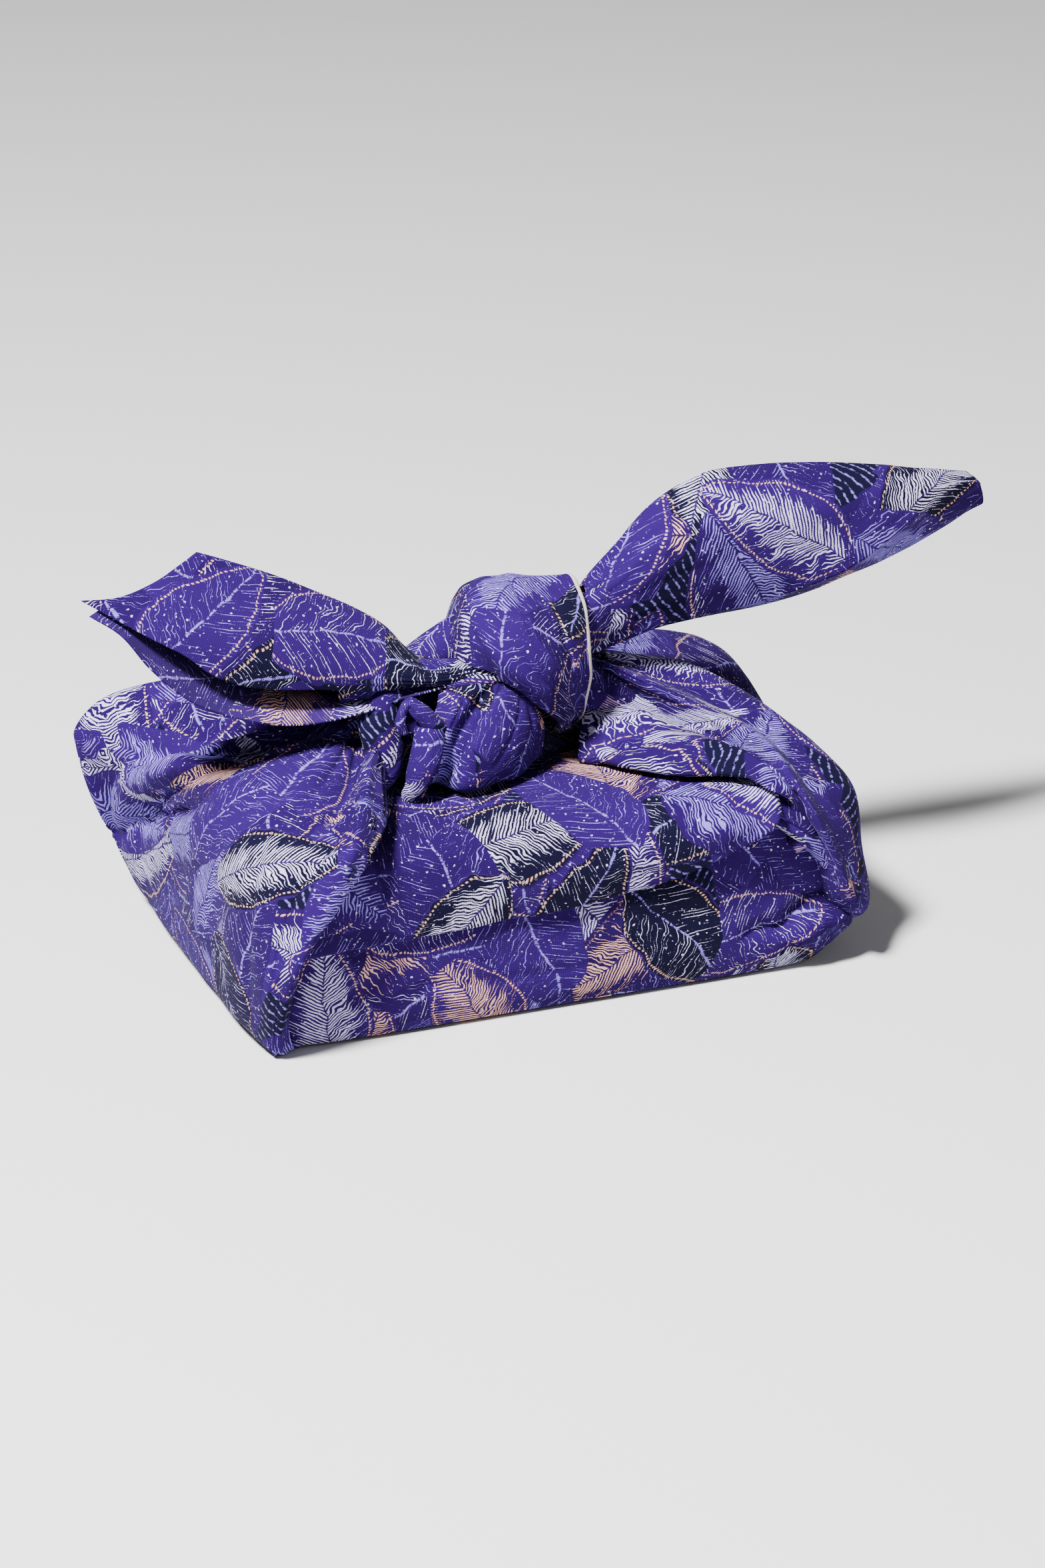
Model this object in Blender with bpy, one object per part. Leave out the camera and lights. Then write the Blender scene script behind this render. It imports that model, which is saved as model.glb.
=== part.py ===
"""Furoshiki wrap: one square of printed cotton tied round a flat parcel.

The cloth wraps a low box. Its back corner comes over the top and down the front as a
flap. Its left and right corners rise over the ends as two gathered ears, and are tied
above the middle in a flat knot with two free tails.

Everything is one closed solid. Axes: +X along the parcel, +Z up, front towards -Y.
The origin is at the middle of the flat underside. Tables are in millimetres.
"""
import math

import bmesh
import bpy
import numpy as np

MM = 0.001

# Driving dimensions, in millimetres
PLY = 2.0                 # thickness of a free layer of cloth in the solid
EAR_PLY = 2.6             # the same in the ears, measured straight down through their folds
HEM_ROLL = 4.0            # thickness of a turned or folded edge
CORE_LOW = (-66.0, -41.0, 8.0)      # layers that lie on the parcel are sunk
CORE_HIGH = (66.0, 41.0, 40.0)      # towards this core
SUNK_SHARE = 0.7
FLOOR_LIFT = 0.6          # the layers end this far above the underside
FOLD_ROUNDNESS = 0.9      # 1 rounds the folds fully, 0 leaves them straight between crests

CLOTH_COLOUR = (0.085, 0.045, 0.330, 1.0)
CLOTH_ROUGHNESS = 0.85


# ---------------------------------------------------------------- curves and skins

def smooth_line(points, count):
    """Evenly spread points on a Catmull-Rom curve through the given points."""
    points = np.asarray(points, float)
    steps = np.linalg.norm(np.diff(points, axis=0), axis=1) ** 0.5 + 1e-9
    knots = np.concatenate([[0.0], np.cumsum(steps)])
    slopes = np.gradient(points, knots, axis=0)
    dense = np.linspace(0.0, knots[-1], 24 * len(points))
    place = np.clip(np.searchsorted(knots, dense, side="right") - 1, 0, len(knots) - 2)
    width = (knots[place + 1] - knots[place])[:, None]
    t = (dense - knots[place])[:, None] / width
    start, end = points[place], points[place + 1]
    curve = ((2 * t**3 - 3 * t**2 + 1) * start + (t**3 - 2 * t**2 + t) * width * slopes[place]
             + (3 * t**2 - 2 * t**3) * end + (t**3 - t**2) * width * slopes[place + 1])
    lengths = np.concatenate([[0.0], np.cumsum(np.linalg.norm(np.diff(curve, axis=0), axis=1))])
    wanted = np.linspace(0.0, lengths[-1], count)
    return np.stack([np.interp(wanted, lengths, curve[:, axis]) for axis in range(3)], axis=1)


def skin_through(folds, gap_rows, columns):
    """A grid of points through a table of folds: (name, point, point, ...).

    Every fold keeps a row of its own, with gap_rows rows from each fold to the next.
    """
    lines = np.stack([smooth_line(fold[1:], columns) for fold in folds])
    slopes = np.gradient(lines, axis=0) * FOLD_ROUNDNESS
    rows = []
    for gap in range(len(folds) - 1):
        for step in range(gap_rows):
            t = step / gap_rows
            rows.append((2 * t**3 - 3 * t**2 + 1) * lines[gap] + (t**3 - 2 * t**2 + t) * slopes[gap]
                        + (3 * t**2 - 2 * t**3) * lines[gap + 1] + (t**3 - t**2) * slopes[gap + 1])
    rows.append(lines[-1])
    return np.stack(rows)


def new_object(name, points, faces):
    """A mesh object from points in millimetres, with its faces turned outwards."""
    mesh = bpy.data.meshes.new(name)
    mesh.from_pydata([tuple(float(value) * MM for value in point) for point in points], [], faces)
    shape = bmesh.new()
    shape.from_mesh(mesh)
    bmesh.ops.recalc_face_normals(shape, faces=shape.faces)
    shape.to_mesh(mesh)
    shape.free()
    thing = bpy.data.objects.new(name, mesh)
    bpy.context.scene.collection.objects.link(thing)
    return thing


def under_face(grid, thickness):
    """The inner face of a free layer of cloth folded round its own middle."""
    normal = np.cross(np.gradient(grid, axis=0), np.gradient(grid, axis=1))
    normal = normal / np.linalg.norm(normal, axis=2, keepdims=True)
    if np.sum(normal * (grid - grid.mean(axis=(0, 1)))) < 0.0:
        normal = -normal
    return grid - normal * np.asarray(thickness, float)[..., None]


def towards_core(grid):
    """Steps from the grid to the nearest points of the parcel's core."""
    return np.clip(grid, CORE_LOW, CORE_HIGH) - grid


def lying_face(grid, lying, ply):
    """The under face of a layer: sunk in the parcel where lying is 1, a ply deep where 0."""
    step = towards_core(grid)
    deep = step * SUNK_SHARE
    thin = step / np.linalg.norm(step, axis=2, keepdims=True) * np.asarray(ply, float)[..., None]
    share = np.asarray(lying, float)[None, :, None]
    return grid + deep * share + thin * (1.0 - share)


def layer_of_cloth(name, grid, under):
    """A closed slab between an upper and an under grid of points."""
    rows, columns = grid.shape[:2]
    points = np.concatenate([grid.reshape(-1, 3), under.reshape(-1, 3)])
    points[:, 2] = np.maximum(points[:, 2], FLOOR_LIFT)
    total = rows * columns
    faces = []
    for row in range(rows - 1):
        for column in range(columns - 1):
            corner = row * columns + column
            face = (corner, corner + 1, corner + columns + 1, corner + columns)
            faces.append(face)
            faces.append(tuple(total + index for index in reversed(face)))
    ring = ([(0, c) for c in range(columns)] + [(r, columns - 1) for r in range(1, rows)]
            + [(rows - 1, c) for c in range(columns - 2, -1, -1)]
            + [(r, 0) for r in range(rows - 2, 0, -1)])
    for place, (row, column) in enumerate(ring):
        following = ring[(place + 1) % len(ring)]
        here = row * columns + column
        there = following[0] * columns + following[1]
        faces.append((here, total + here, total + there, there))
    return new_object(name, points, faces)


def plump_fold(name, sections, sides=10, steps=9, top=(0.0, -0.35, 1.0)):
    """A closed fold of filled cloth along a path.

    sections: rows of (x, y, z, half_width, half_thickness, turn), the turn in degrees.
    """
    table = np.asarray(sections, float)
    path = smooth_line(table[:, :3], steps)
    reach = np.concatenate([[0.0], np.cumsum(np.linalg.norm(np.diff(table[:, :3], axis=0), axis=1))])
    place = np.linspace(0.0, reach[-1], steps)
    widths, heights, turns = (np.interp(place, reach, table[:, column]) for column in (3, 4, 5))
    tangents = np.gradient(path, axis=0)
    points, faces = [path[0]], []
    for index in range(steps):
        ahead = tangents[index] / np.linalg.norm(tangents[index])
        side = np.cross(ahead, np.asarray(top, float))
        side = side / np.linalg.norm(side)
        up = np.cross(side, ahead)
        turn = math.radians(turns[index])
        cosine, sine = math.cos(turn), math.sin(turn)
        side, up = side * cosine + up * sine, up * cosine - side * sine
        for step in range(sides):
            angle = 2.0 * math.pi * step / sides
            points.append(path[index] + side * widths[index] * math.cos(angle)
                          + up * heights[index] * math.sin(angle))
    points.append(path[-1])
    last = len(points) - 1
    for step in range(sides):
        following = (step + 1) % sides
        faces.append((0, 1 + following, 1 + step))
        faces.append((last, last - sides + step, last - sides + following))
        for index in range(steps - 1):
            corner = 1 + index * sides
            faces.append((corner + step, corner + following, corner + sides + following,
                          corner + sides + step))
    return new_object(name, points, faces)


# ---------------------------------------------------------------- the wrapped parcel

# Levels of the parcel: height, middle (x), half width, half depth, squareness of the corners
PARCEL_LEVELS = (
    (0.0, -4.0, 71.5, 48.5, 12.0),
    (1.2, -3.0, 74.4, 50.6, 12.0),
    (5.0, -1.4, 77.0, 52.0, 12.0),
    (9.5, 0.0, 78.4, 52.8, 12.0),
    (13.0, 0.4, 79.4, 52.8, 13.0),
    (17.0, 0.0, 78.6, 52.6, 11.0),
    (22.0, 0.0, 77.8, 52.4, 10.0),
    (40.0, 0.0, 76.8, 51.4, 9.0),
    (45.0, 0.0, 74.6, 49.4, 7.5),
    (47.6, 0.0, 70.6, 45.6, 6.5),
    (48.8, 0.0, 60.0, 36.0, 5.0),
)
CROWN_HEIGHT = 49.4


def parcel(name, around=52):
    """The parcel under one layer of cloth: a soft-edged box with a flat underside."""
    points, faces = [], []
    for height, middle, half_width, half_depth, square in PARCEL_LEVELS:
        for step in range(around):
            angle = 2.0 * math.pi * (step + 0.5) / around
            cosine, sine = math.cos(angle), math.sin(angle)
            power = 2.0 / square
            points.append((middle + half_width * math.copysign(abs(cosine) ** power, cosine),
                           half_depth * math.copysign(abs(sine) ** power, sine), height))
    for level in range(len(PARCEL_LEVELS) - 1):
        for step in range(around):
            following = (step + 1) % around
            low, high = level * around, (level + 1) * around
            faces.append((low + step, low + following, high + following, high + step))
    faces.append(tuple(reversed(range(around))))
    crown = len(points)
    points.append((0.0, 0.0, CROWN_HEIGHT))
    top = (len(PARCEL_LEVELS) - 1) * around
    for step in range(around):
        faces.append((top + step, top + (step + 1) % around, crown))
    return new_object(name, points, faces)


# ---------------------------------------------------------------- the front flap

# The flap, from left to right: a line over the parcel from its back edge to its front lip
FLAP_FOLDS = (
    # line, back rise, back, middle, front, brow, front wall, lip
    ("left", (-70, 49, 44), (-70, 30, 48.8), (-70, 0, 49.6), (-70, -34, 49.4), (-70, -50, 46.5),
     (-70, -55, 38), (-70, -56.8, 25.0)),
    ("west", (-50, 50, 44), (-50, 30, 50.0), (-50, 0, 50.8), (-50, -34, 50.6), (-50, -50, 47.4),
     (-50, -55, 38), (-50, -57.2, 25.8)),
    ("hollow", (-30, 50, 44), (-30, 30, 49.8), (-30, 0, 50.4), (-30, -34, 49.6), (-30, -50, 46.2),
     (-30, -54, 38), (-30, -56.6, 26.4)),
    ("swell", (-6, 50, 44), (-6, 30, 50.0), (-6, 0, 51.0), (-6, -34, 50.8), (-6, -50, 47.6),
     (-6, -56, 38), (-6, -58.0, 27.0)),
    ("east", (16, 50, 44), (16, 30, 50.0), (16, 0, 50.8), (16, -34, 50.4), (16, -50, 47.4),
     (16, -56, 39), (15, -57.6, 29.0)),
    ("turn", (34, 50, 44), (34, 30, 49.6), (34, 0, 50.6), (34, -36, 50.8), (34, -51, 48.6),
     (34, -57, 42), (32, -58.4, 33.0)),
    ("corner", (50, 50, 44), (50, 30, 49.2), (50, 0, 50.2), (46, -36, 51.6), (45, -51, 51.0),
     (45, -58, 45), (43, -59.6, 38.0)),
    ("end", (62, 50, 44), (62, 30, 48.8), (62, 0, 49.6), (54, -34, 51.0), (50.5, -47, 51.8),
     (51.5, -55.5, 50), (51.5, -59.0, 45.5)),
    ("tuck", (70, 49, 44), (70, 30, 48.6), (70, 0, 49.0), (62, -30, 49.0), (56, -42, 49.8),
     (55, -49, 49.5), (54.5, -53.0, 47.5)),
)


def flap(name):
    """The corner of the cloth that comes from behind, over the top and down the front."""
    grid = skin_through(FLAP_FOLDS, 2, 17)
    place = np.linspace(0.0, 1.0, grid.shape[1])
    lying = np.interp(place, (0.0, 0.74, 0.86), (1.0, 1.0, 0.0))
    return layer_of_cloth(name, grid, lying_face(grid, lying, np.full(grid.shape[:2], HEM_ROLL)))


# ---------------------------------------------------------------- the ears

# Folds of the left ear, from its front lip round to its back lip
LEFT_EAR_FOLDS = (
    # fold, foot, corner, waist, wall, brow, top, rise, neck
    ("lip", (-70.5, -51.5, 1.5), (-72, -56, 12.5), (-69.5, -59, 30), (-60, -58.5, 43), (-55, -58.5, 52),
     (-46.5, -47, 54.5), (-40, -30, 58), (-33, -13, 60)),
    ("roll", (-74.5, -52.5, 1.2), (-76.5, -58, 13), (-72.5, -62, 30), (-64, -62.5, 45),
     (-58.5, -60.5, 55), (-50, -44.5, 60), (-43.5, -31, 63.5), (-36, -13, 66)),
    ("valley", (-77, -51, 1.5), (-79, -55, 13), (-78.5, -57, 30), (-72, -56.5, 46.5),
     (-66.5, -51, 52.5), (-56, -38.5, 54.5), (-47.3, -27, 57.5), (-40, -12, 63)),
    ("panel", (-79, -42, 2.5), (-80.6, -46, 14), (-80.5, -47, 30), (-77, -44, 46.5), (-70, -36, 56),
     (-60, -28, 61), (-51, -19, 63), (-41, -9, 66.5)),
    ("ridge", (-79.5, -12, 2.5), (-81.5, -14, 14), (-82, -16, 30), (-81, -20, 47), (-75, -17, 56.5),
     (-62, -13, 61), (-50, -9, 64.5), (-41, -5, 69)),
    ("crease", (-79, 30, 2.5), (-81.5, 36, 14), (-82.5, 36, 29), (-81.5, 14, 46), (-77, 5, 52),
     (-62, 1.5, 54.5), (-49, -2, 59), (-40, -1.5, 63)),
    ("second", (-78, 40, 2.5), (-84, 45, 14), (-86.5, 43, 29), (-85, 24, 47), (-79, 13, 55.5),
     (-65, 8, 59.5), (-52, 4, 63), (-42, 4, 67)),
    ("hollow", (-77.5, 45, 2.5), (-83, 50, 14), (-86, 48, 31), (-84.5, 34, 46), (-77, 24, 51.2),
     (-66, 16, 53.5), (-54, 9, 57), (-42, 9, 61)),
    ("bulge", (-75.5, 49, 2.5), (-84, 52, 16), (-91, 49, 32), (-94.5, 46.5, 49), (-88, 44, 59),
     (-74, 38, 64.5), (-58, 28, 66), (-43, 16, 68)),
    ("behind", (-70, 50.5, 2), (-75, 56, 16), (-78, 57, 30), (-76, 55.5, 46), (-70, 50, 56),
     (-57, 38, 58.5), (-46, 28, 61), (-36, 17, 65)),
    ("back", (-56, 51, 1.5), (-57, 55.5, 15), (-58, 57, 28), (-56.5, 56, 44), (-52, 51, 54),
     (-43, 37, 57.5), (-35, 26, 61), (-27, 14, 68)),
    ("backlip", (-44, 51, 2.5), (-44.5, 53.5, 16), (-45, 54, 28), (-43.5, 53.5, 43), (-40, 48, 51),
     (-34, 34, 54), (-27, 23, 58), (-20, 11, 65)),
)

# Folds of the right ear, from its front lip round to its back lip
RIGHT_EAR_FOLDS = (
    # fold, foot, waist, brow, top, middle, rise, neck
    ("lip", (55, -56.5, 45), (54.5, -58, 48.5), (50, -58, 52), (45.5, -51.5, 56.5), (31.5, -41, 56),
     (21, -30.5, 55), (14, -21, 54)),
    ("panel", (58.5, -57, 42), (57, -58.8, 47), (52.5, -58.5, 53), (47.5, -48.5, 58.5), (34, -33, 60),
     (26, -23, 60.5), (19, -14, 62)),
    ("pinch", (62, -57, 37), (60, -58.5, 44), (55.5, -58, 50), (51, -46, 55), (39.5, -27, 58),
     (31, -17.5, 62), (22, -11.5, 67)),
    ("crest", (74.5, -57, 16.5), (68.5, -60, 32), (60.5, -60, 47), (56, -44.5, 58), (46, -26, 62),
     (35.5, -15.5, 66.5), (25.5, -9, 72)),
    ("crease", (78.5, -53.5, 14.5), (72, -56, 30), (65, -54, 46), (62, -33, 53.5), (52.5, -12.5, 60),
     (42, -7.5, 65), (27, -6, 70)),
    ("band", (80.8, -49, 12), (79.4, -48, 30), (77.8, -45.5, 44.5), (72.5, -35, 52), (65.5, -17, 58),
     (50, -6, 66.5), (28, -2.5, 72)),
    ("edge", (79, -32, 5), (80.5, -30, 30), (78.5, -20, 44.5), (74, -8, 49.5), (66, 2, 55),
     (52, 4, 63), (28.5, 1, 70)),
    ("dip", (77.5, -8, 2.5), (81, -4, 30), (78.5, 2, 46), (73, 8, 51), (64, 12, 55.5), (50, 11, 61.5),
     (30, 4, 67.5)),
    ("fourth", (77.5, 26, 2.5), (81.5, 28, 30), (80, 30, 48.5), (74, 30, 57), (62, 28, 62.5),
     (46, 19, 67.5), (30, 8, 71)),
    ("corner", (73.5, 48.5, 2), (79, 54, 28), (75.5, 52.5, 49), (66, 46, 55), (52, 38, 59), (40, 26, 63),
     (28, 13, 68)),
    ("back", (56, 51, 1.5), (58, 56, 28), (55, 54.5, 47), (49, 48, 54), (42, 37, 57.5), (33, 25, 61),
     (24, 13, 68)),
    ("backlip", (42, 51, 2.5), (43, 54, 28), (41, 52, 45), (37, 46, 51.5), (32, 34, 54), (26, 23, 58),
     (19, 11, 65)),
)


def ear(name, folds):
    """A gathered corner of the cloth: it lies on the parcel's end and spans to the knot."""
    grid = skin_through(folds, 3, 15)
    place = np.linspace(0.0, 1.0, grid.shape[1])
    lying = np.interp(place, (0.0, 0.56, 0.68), (1.0, 1.0, 0.0))
    return layer_of_cloth(name, grid, lying_face(grid, lying, np.full(grid.shape[:2], EAR_PLY)))


# ---------------------------------------------------------------- the knot

# Plump folds of the knot: rows of x, y, z, half width, half thickness, turn
KNOT_FOLDS = {
    "core": ((3.6, 15, 70, 6, 6, 0), (3.8, 9, 71, 14, 12, 0), (3, -5, 72, 17, 14, 0),
             (2.5, -14.5, 69, 12.5, 10, 0), (1, -19, 67, 5, 4, 0)),
    "band": ((6, 16, 75, 10, 4, 0), (5, 13, 83, 12, 5, 0), (4.5, 5, 87.5, 13.5, 5.5, 0),
             (3.6, -5, 90, 14.5, 6, 0), (3, -14, 88.5, 14.5, 6.5, 0), (3.4, -20, 83, 13, 7.5, 0),
             (6.5, -21, 76.5, 10.5, 7.5, 0), (10.5, -19, 68.5, 7, 6, 0), (13.4, -15.5, 60.5, 5, 4.5, 0),
             (14, -12, 54, 3, 3, 0)),
    "right lobe": ((-3, -16, 76, 6, 4, 0), (-5, -19.5, 72, 8, 6, 0), (-8, -21.5, 66, 11.5, 9.5, 0),
                   (-9, -23, 59, 12, 8.5, 0), (-9.5, -22.5, 54, 11, 6, 0), (-9.5, -21.5, 50.6, 8, 3, 0)),
    "left lobe": ((-10, -15, 76, 5, 3, 0), (-14, -19, 74, 6, 5, 0), (-20, -18.5, 69, 7.5, 8.5, 0),
                  (-23, -19.5, 63, 7.5, 8, 0), (-25, -20.5, 57, 7, 7, 0), (-27, -20, 51, 5, 3, 0)),
    "cone": ((-26, -21, 69.5, 2.4, 2.4, 0), (-27.5, -25.3, 65.5, 4, 3.4, 0),
             (-29.5, -27.3, 60, 4, 3.4, 0), (-31.5, -27, 54, 3.2, 3, 0), (-32, -25, 50, 2.4, 2.4, 0)),
    "curl": ((-22, -22, 66, 3, 3, 0), (-26.5, -23.5, 70, 3.4, 3, 0), (-30, -23, 73, 2.8, 2.6, 0),
             (-33, -22, 71, 2.2, 2.4, 0)),
    "pleat": ((-30, -14, 75, 3, 3, 0), (-35, -16.5, 72.5, 4.2, 4, 0), (-37.5, -19, 67, 5, 4.6, 0),
              (-37.4, -20.5, 60, 5.2, 4.6, 0), (-39.5, -20, 53.5, 4.2, 4, 0), (-41, -19, 50, 3.2, 3, 0)),
    "loop": ((-27, 1, 71, 4, 4, 0), (-22, -1, 75, 5, 4.6, 0), (-16.5, -2, 78, 5.6, 5.4, 0),
             (-11, -3, 81, 6, 5.8, 0), (-5, -4, 84, 6, 5, 0)),
    "left neck": ((-46, -11, 77, 6, 4, 0), (-37, -12.5, 77.5, 5.5, 5, 0), (-28, -13.5, 77, 5, 4, 0),
                  (-19, -15, 77, 5, 3, 0), (-10, -16.5, 77, 5, 2.8, 0), (-2, -16, 76.5, 4, 3, 0)),
    "left root": ((-46, -6, 62, 5, 3, 0), (-38, -8, 64.5, 7.5, 5.2, 0), (-26, -9, 67, 9.5, 6.4, 0),
                  (-10, -9, 69, 10, 9.5, 0)),
    "right neck": ((8, -5, 74, 7, 6, 0), (18, -6, 79.5, 8, 6, 90), (25, -7, 84.5, 7.5, 4.6, 90),
                   (31, -7, 89, 7, 3, 90)),
    "right root": ((34, -5, 62, 9, 3, 0), (26, -6, 65, 9, 5, 0), (16, -5.6, 67.4, 11.1, 8.7, 0),
                   (6, -4, 70, 8, 8, 0)),
    "side curl": ((52, -50, 47, 3, 3, 0), (56, -52.5, 45, 4.5, 4.2, 0), (59, -52.5, 41.5, 4.4, 4.2, 0),
                  (60, -52, 37, 3.6, 3.6, 0), (60, -51, 33, 3, 3, 0)),
}


def plump_folds():
    """Every plump fold of the knot, with the gathered roots of its ears and tails."""
    return [plump_fold(fold, sections) for fold, sections in KNOT_FOLDS.items()]


# ---------------------------------------------------------------- the tails

# The left tail is folded lengthwise and opens to the front
LEFT_TAIL_FOLDS = (
    # fold, then its points from the neck to the end
    ("upper lip", (-20, -17, 74), (-36, -19, 76.5), (-52, -19, 79.5), (-70, -19, 83), (-88, -17, 93.5),
     (-107, -9, 105)),
    ("face", (-20, -19, 77), (-36, -18.5, 82), (-52, -18.5, 87.5), (-68, -17, 94), (-83, -13, 101.5),
     (-97, -9, 106.5)),
    ("ridge", (-20, -12, 79.5), (-31, -8, 88), (-44, -7, 97), (-57, -6, 104), (-68.5, -5, 109),
     (-78.5, -5, 113)),
    ("back", (-20, -4, 78), (-34, 2, 83), (-50, 4, 88), (-65, 3.5, 94.5), (-76, 1.5, 102),
     (-85, -0.5, 108)),
    ("keel", (-20, -4, 70), (-36, 1, 72), (-54, 2, 74), (-72, 1, 81), (-86, -1, 92), (-97, -3, 104)),
    ("low lip", (-20, -14, 70), (-36, -19, 72), (-57, -20.5, 71.5), (-77, -19.5, 76.5), (-92, -17, 87),
     (-106, -7.5, 102.5)),
)

# The right tail is broad; its front face turns under at a crest and comes back behind
RIGHT_TAIL_FOLDS = (
    # fold, then its points from the neck to the end
    ("back", (22, 0, 84), (34, 2, 94), (48, 3, 101), (66, 3, 104), (86, 3, 104), (106, 2, 103.5),
     (124, 1, 103)),
    ("top", (22, -4, 91.5), (28, -4, 98.5), (36.5, -4, 107), (42.5, -4, 111.5), (50, -4, 115),
     (57, -4, 117), (69, -4, 117), (85, -4, 115.7), (104.5, -4, 112.7), (127.5, -5, 108.5)),
    ("face", (22, -9, 88.5), (28, -12, 93.5), (36.5, -14, 101), (48.5, -15, 106), (64, -15, 107.7),
     (80, -15, 108), (100, -14, 107.7), (113.5, -12, 108.3), (129, -9, 106)),
    ("low face", (22, -9, 82.5), (29, -12, 85.5), (38.5, -14, 91), (50, -15, 94), (64.5, -15.5, 96),
     (80, -15.5, 98.5), (96.5, -15, 102.5), (112, -13, 105), (130, -8.5, 104)),
    ("crest", (23, -8, 75.5), (31, -10, 78.7), (40, -11, 81), (51.5, -12, 82.3), (66.5, -13, 83.8),
     (80, -14.5, 87.8), (93.5, -15, 94), (110, -12.5, 101), (131, -8, 102.5)),
    ("under", (24.5, -5, 73.8), (34.5, -5, 76.5), (43, -6, 78.6), (54, -7, 80.2), (70.5, -7, 81.6),
     (85.5, -5, 83.5), (102, -4, 87), (121, -5, 94), (132, -7, 100)),
    ("return", (22, -2, 76), (34, 1, 80), (48, 3, 84), (64, 3, 87), (86, 3, 89.5), (108, 2, 94),
     (128, -1, 98.5)),
)


def tail(name, folds):
    """A free corner of the cloth, folded lengthwise as the knot leaves it."""
    grid = skin_through(folds, 4, 13)
    place = np.linspace(0.0, 1.0, grid.shape[1])
    thinning = np.interp(place, (0.0, 0.2, 0.6, 1.0), (0.3, 1.0, 1.0, 0.4))
    thickness = np.full(grid.shape[:2], PLY) * thinning
    return layer_of_cloth(name, grid, under_face(grid, thickness))


# ---------------------------------------------------------------- the whole wrap

def main():
    for thing in list(bpy.data.objects):
        bpy.data.objects.remove(thing, do_unlink=True)
    wrap = parcel("furoshiki_wrap")
    layers = [
        flap("flap"),
        ear("left ear", LEFT_EAR_FOLDS),
        ear("right ear", RIGHT_EAR_FOLDS),
        *plump_folds(),
        tail("left tail", LEFT_TAIL_FOLDS),
        tail("right tail", RIGHT_TAIL_FOLDS),
    ]
    for layer in layers:
        layer.hide_render = True
        layer.display_type = "WIRE"
        joint = wrap.modifiers.new(layer.name, "BOOLEAN")
        joint.operation = "UNION"
        joint.solver = "MANIFOLD"
        joint.object = layer
    cloth = bpy.data.materials.new("printed cotton")
    cloth.use_nodes = True
    finish = cloth.node_tree.nodes["Principled BSDF"]
    finish.inputs["Base Color"].default_value = CLOTH_COLOUR
    finish.inputs["Roughness"].default_value = CLOTH_ROUGHNESS
    wrap.data.materials.append(cloth)


main()
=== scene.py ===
"""Furoshiki wrap: a square of printed cotton tied round a flat box, in one knot with two tails.

Each region of the one cloth is a sheet of its own: the layer round the parcel, the flap over
its top, the two ears, the turns of the knot and the two tails. Tables are in millimetres.
"""
import math

import bpy
import numpy as np
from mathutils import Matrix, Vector, noise


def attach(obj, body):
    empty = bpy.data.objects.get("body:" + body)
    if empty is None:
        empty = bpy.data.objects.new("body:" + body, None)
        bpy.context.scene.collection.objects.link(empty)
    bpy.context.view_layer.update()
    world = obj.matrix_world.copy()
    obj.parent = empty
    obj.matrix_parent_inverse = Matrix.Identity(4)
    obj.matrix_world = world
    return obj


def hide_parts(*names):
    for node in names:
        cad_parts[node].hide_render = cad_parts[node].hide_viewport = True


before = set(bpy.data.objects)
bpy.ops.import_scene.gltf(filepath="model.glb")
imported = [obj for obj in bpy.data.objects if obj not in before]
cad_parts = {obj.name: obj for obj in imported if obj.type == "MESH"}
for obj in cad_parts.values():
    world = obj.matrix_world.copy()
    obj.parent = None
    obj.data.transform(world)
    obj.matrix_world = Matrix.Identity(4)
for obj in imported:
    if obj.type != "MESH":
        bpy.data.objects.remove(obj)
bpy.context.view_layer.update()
MM = 0.001

# ------------------------------------------------------------------ the printed cotton
# Plain-woven cotton, screen printed with leaves in lavender, peach and purple on navy.
# The print goes through the cloth, so its reverse is only a little plainer. A narrow strip
# along the raw edge of the knot's band is bare.

INK = {                     # linear colours
    "navy": (0.0032, 0.0024, 0.0135),
    "purple": (0.0110, 0.0018, 0.0470),
    "violet": (0.0158, 0.0030, 0.0660),
    "lavender": (0.160, 0.122, 0.435),
    "pale grey": (0.405, 0.375, 0.570),
    "peach": (0.500, 0.272, 0.188),
    "bare cotton": (0.430, 0.365, 0.330),
}
REVERSE_GROUND = (0.060, 0.040, 0.150)      # what shows through between the threads
LEAF_LAYERS = (
    # cell in m, angle, shift, half length and half width in cells, leaf ink
    (0.034, 12.0, (0.30, 0.10), 0.70, 0.40, "purple"),
    (0.031, 57.0, (0.75, 0.55), 0.68, 0.38, "violet"),
    (0.036, 101.0, (0.15, 0.85), 0.66, 0.36, "purple"),
    (0.038, -31.0, (0.60, 0.25), 0.60, 0.31, "violet"),
)
WITHOUT = {                 # share of the leaves that are without each thing
    "pale middle": 0.59,
    "dotted line": 0.50,
    "peach": 0.84,
    "pale grey": 0.64,
    "navy": 0.90,
}
EITHER_WAY = 0.01           # width of the step between having a thing and not
LEAF_SCATTER = 0.62         # how far the leaves stray from even rows
LEAF_WOBBLE = 0.08          # of a leaf's outline, in cells
STROKE_PITCH = 0.00052      # m, half the distance between brushed strokes
STROKE_SLANT = 0.8          # how steeply the strokes leave the midrib
BEAD_PITCH = 0.00016        # m, between the beads of a dotted line, over 2 pi
WEAVE_PITCH = 0.00076       # m, between every second crossing of the threads
WEAVE_SCALE = 2.0 * math.pi / WEAVE_PITCH
HATCHING = (2600.0, 900.0, 22.0)    # radians a metre, both ways, and how wavy
GRAIN, SPECKS, FUZZ = 1500.0, 1100.0, 900.0     # noise cells in a metre of cloth


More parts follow.
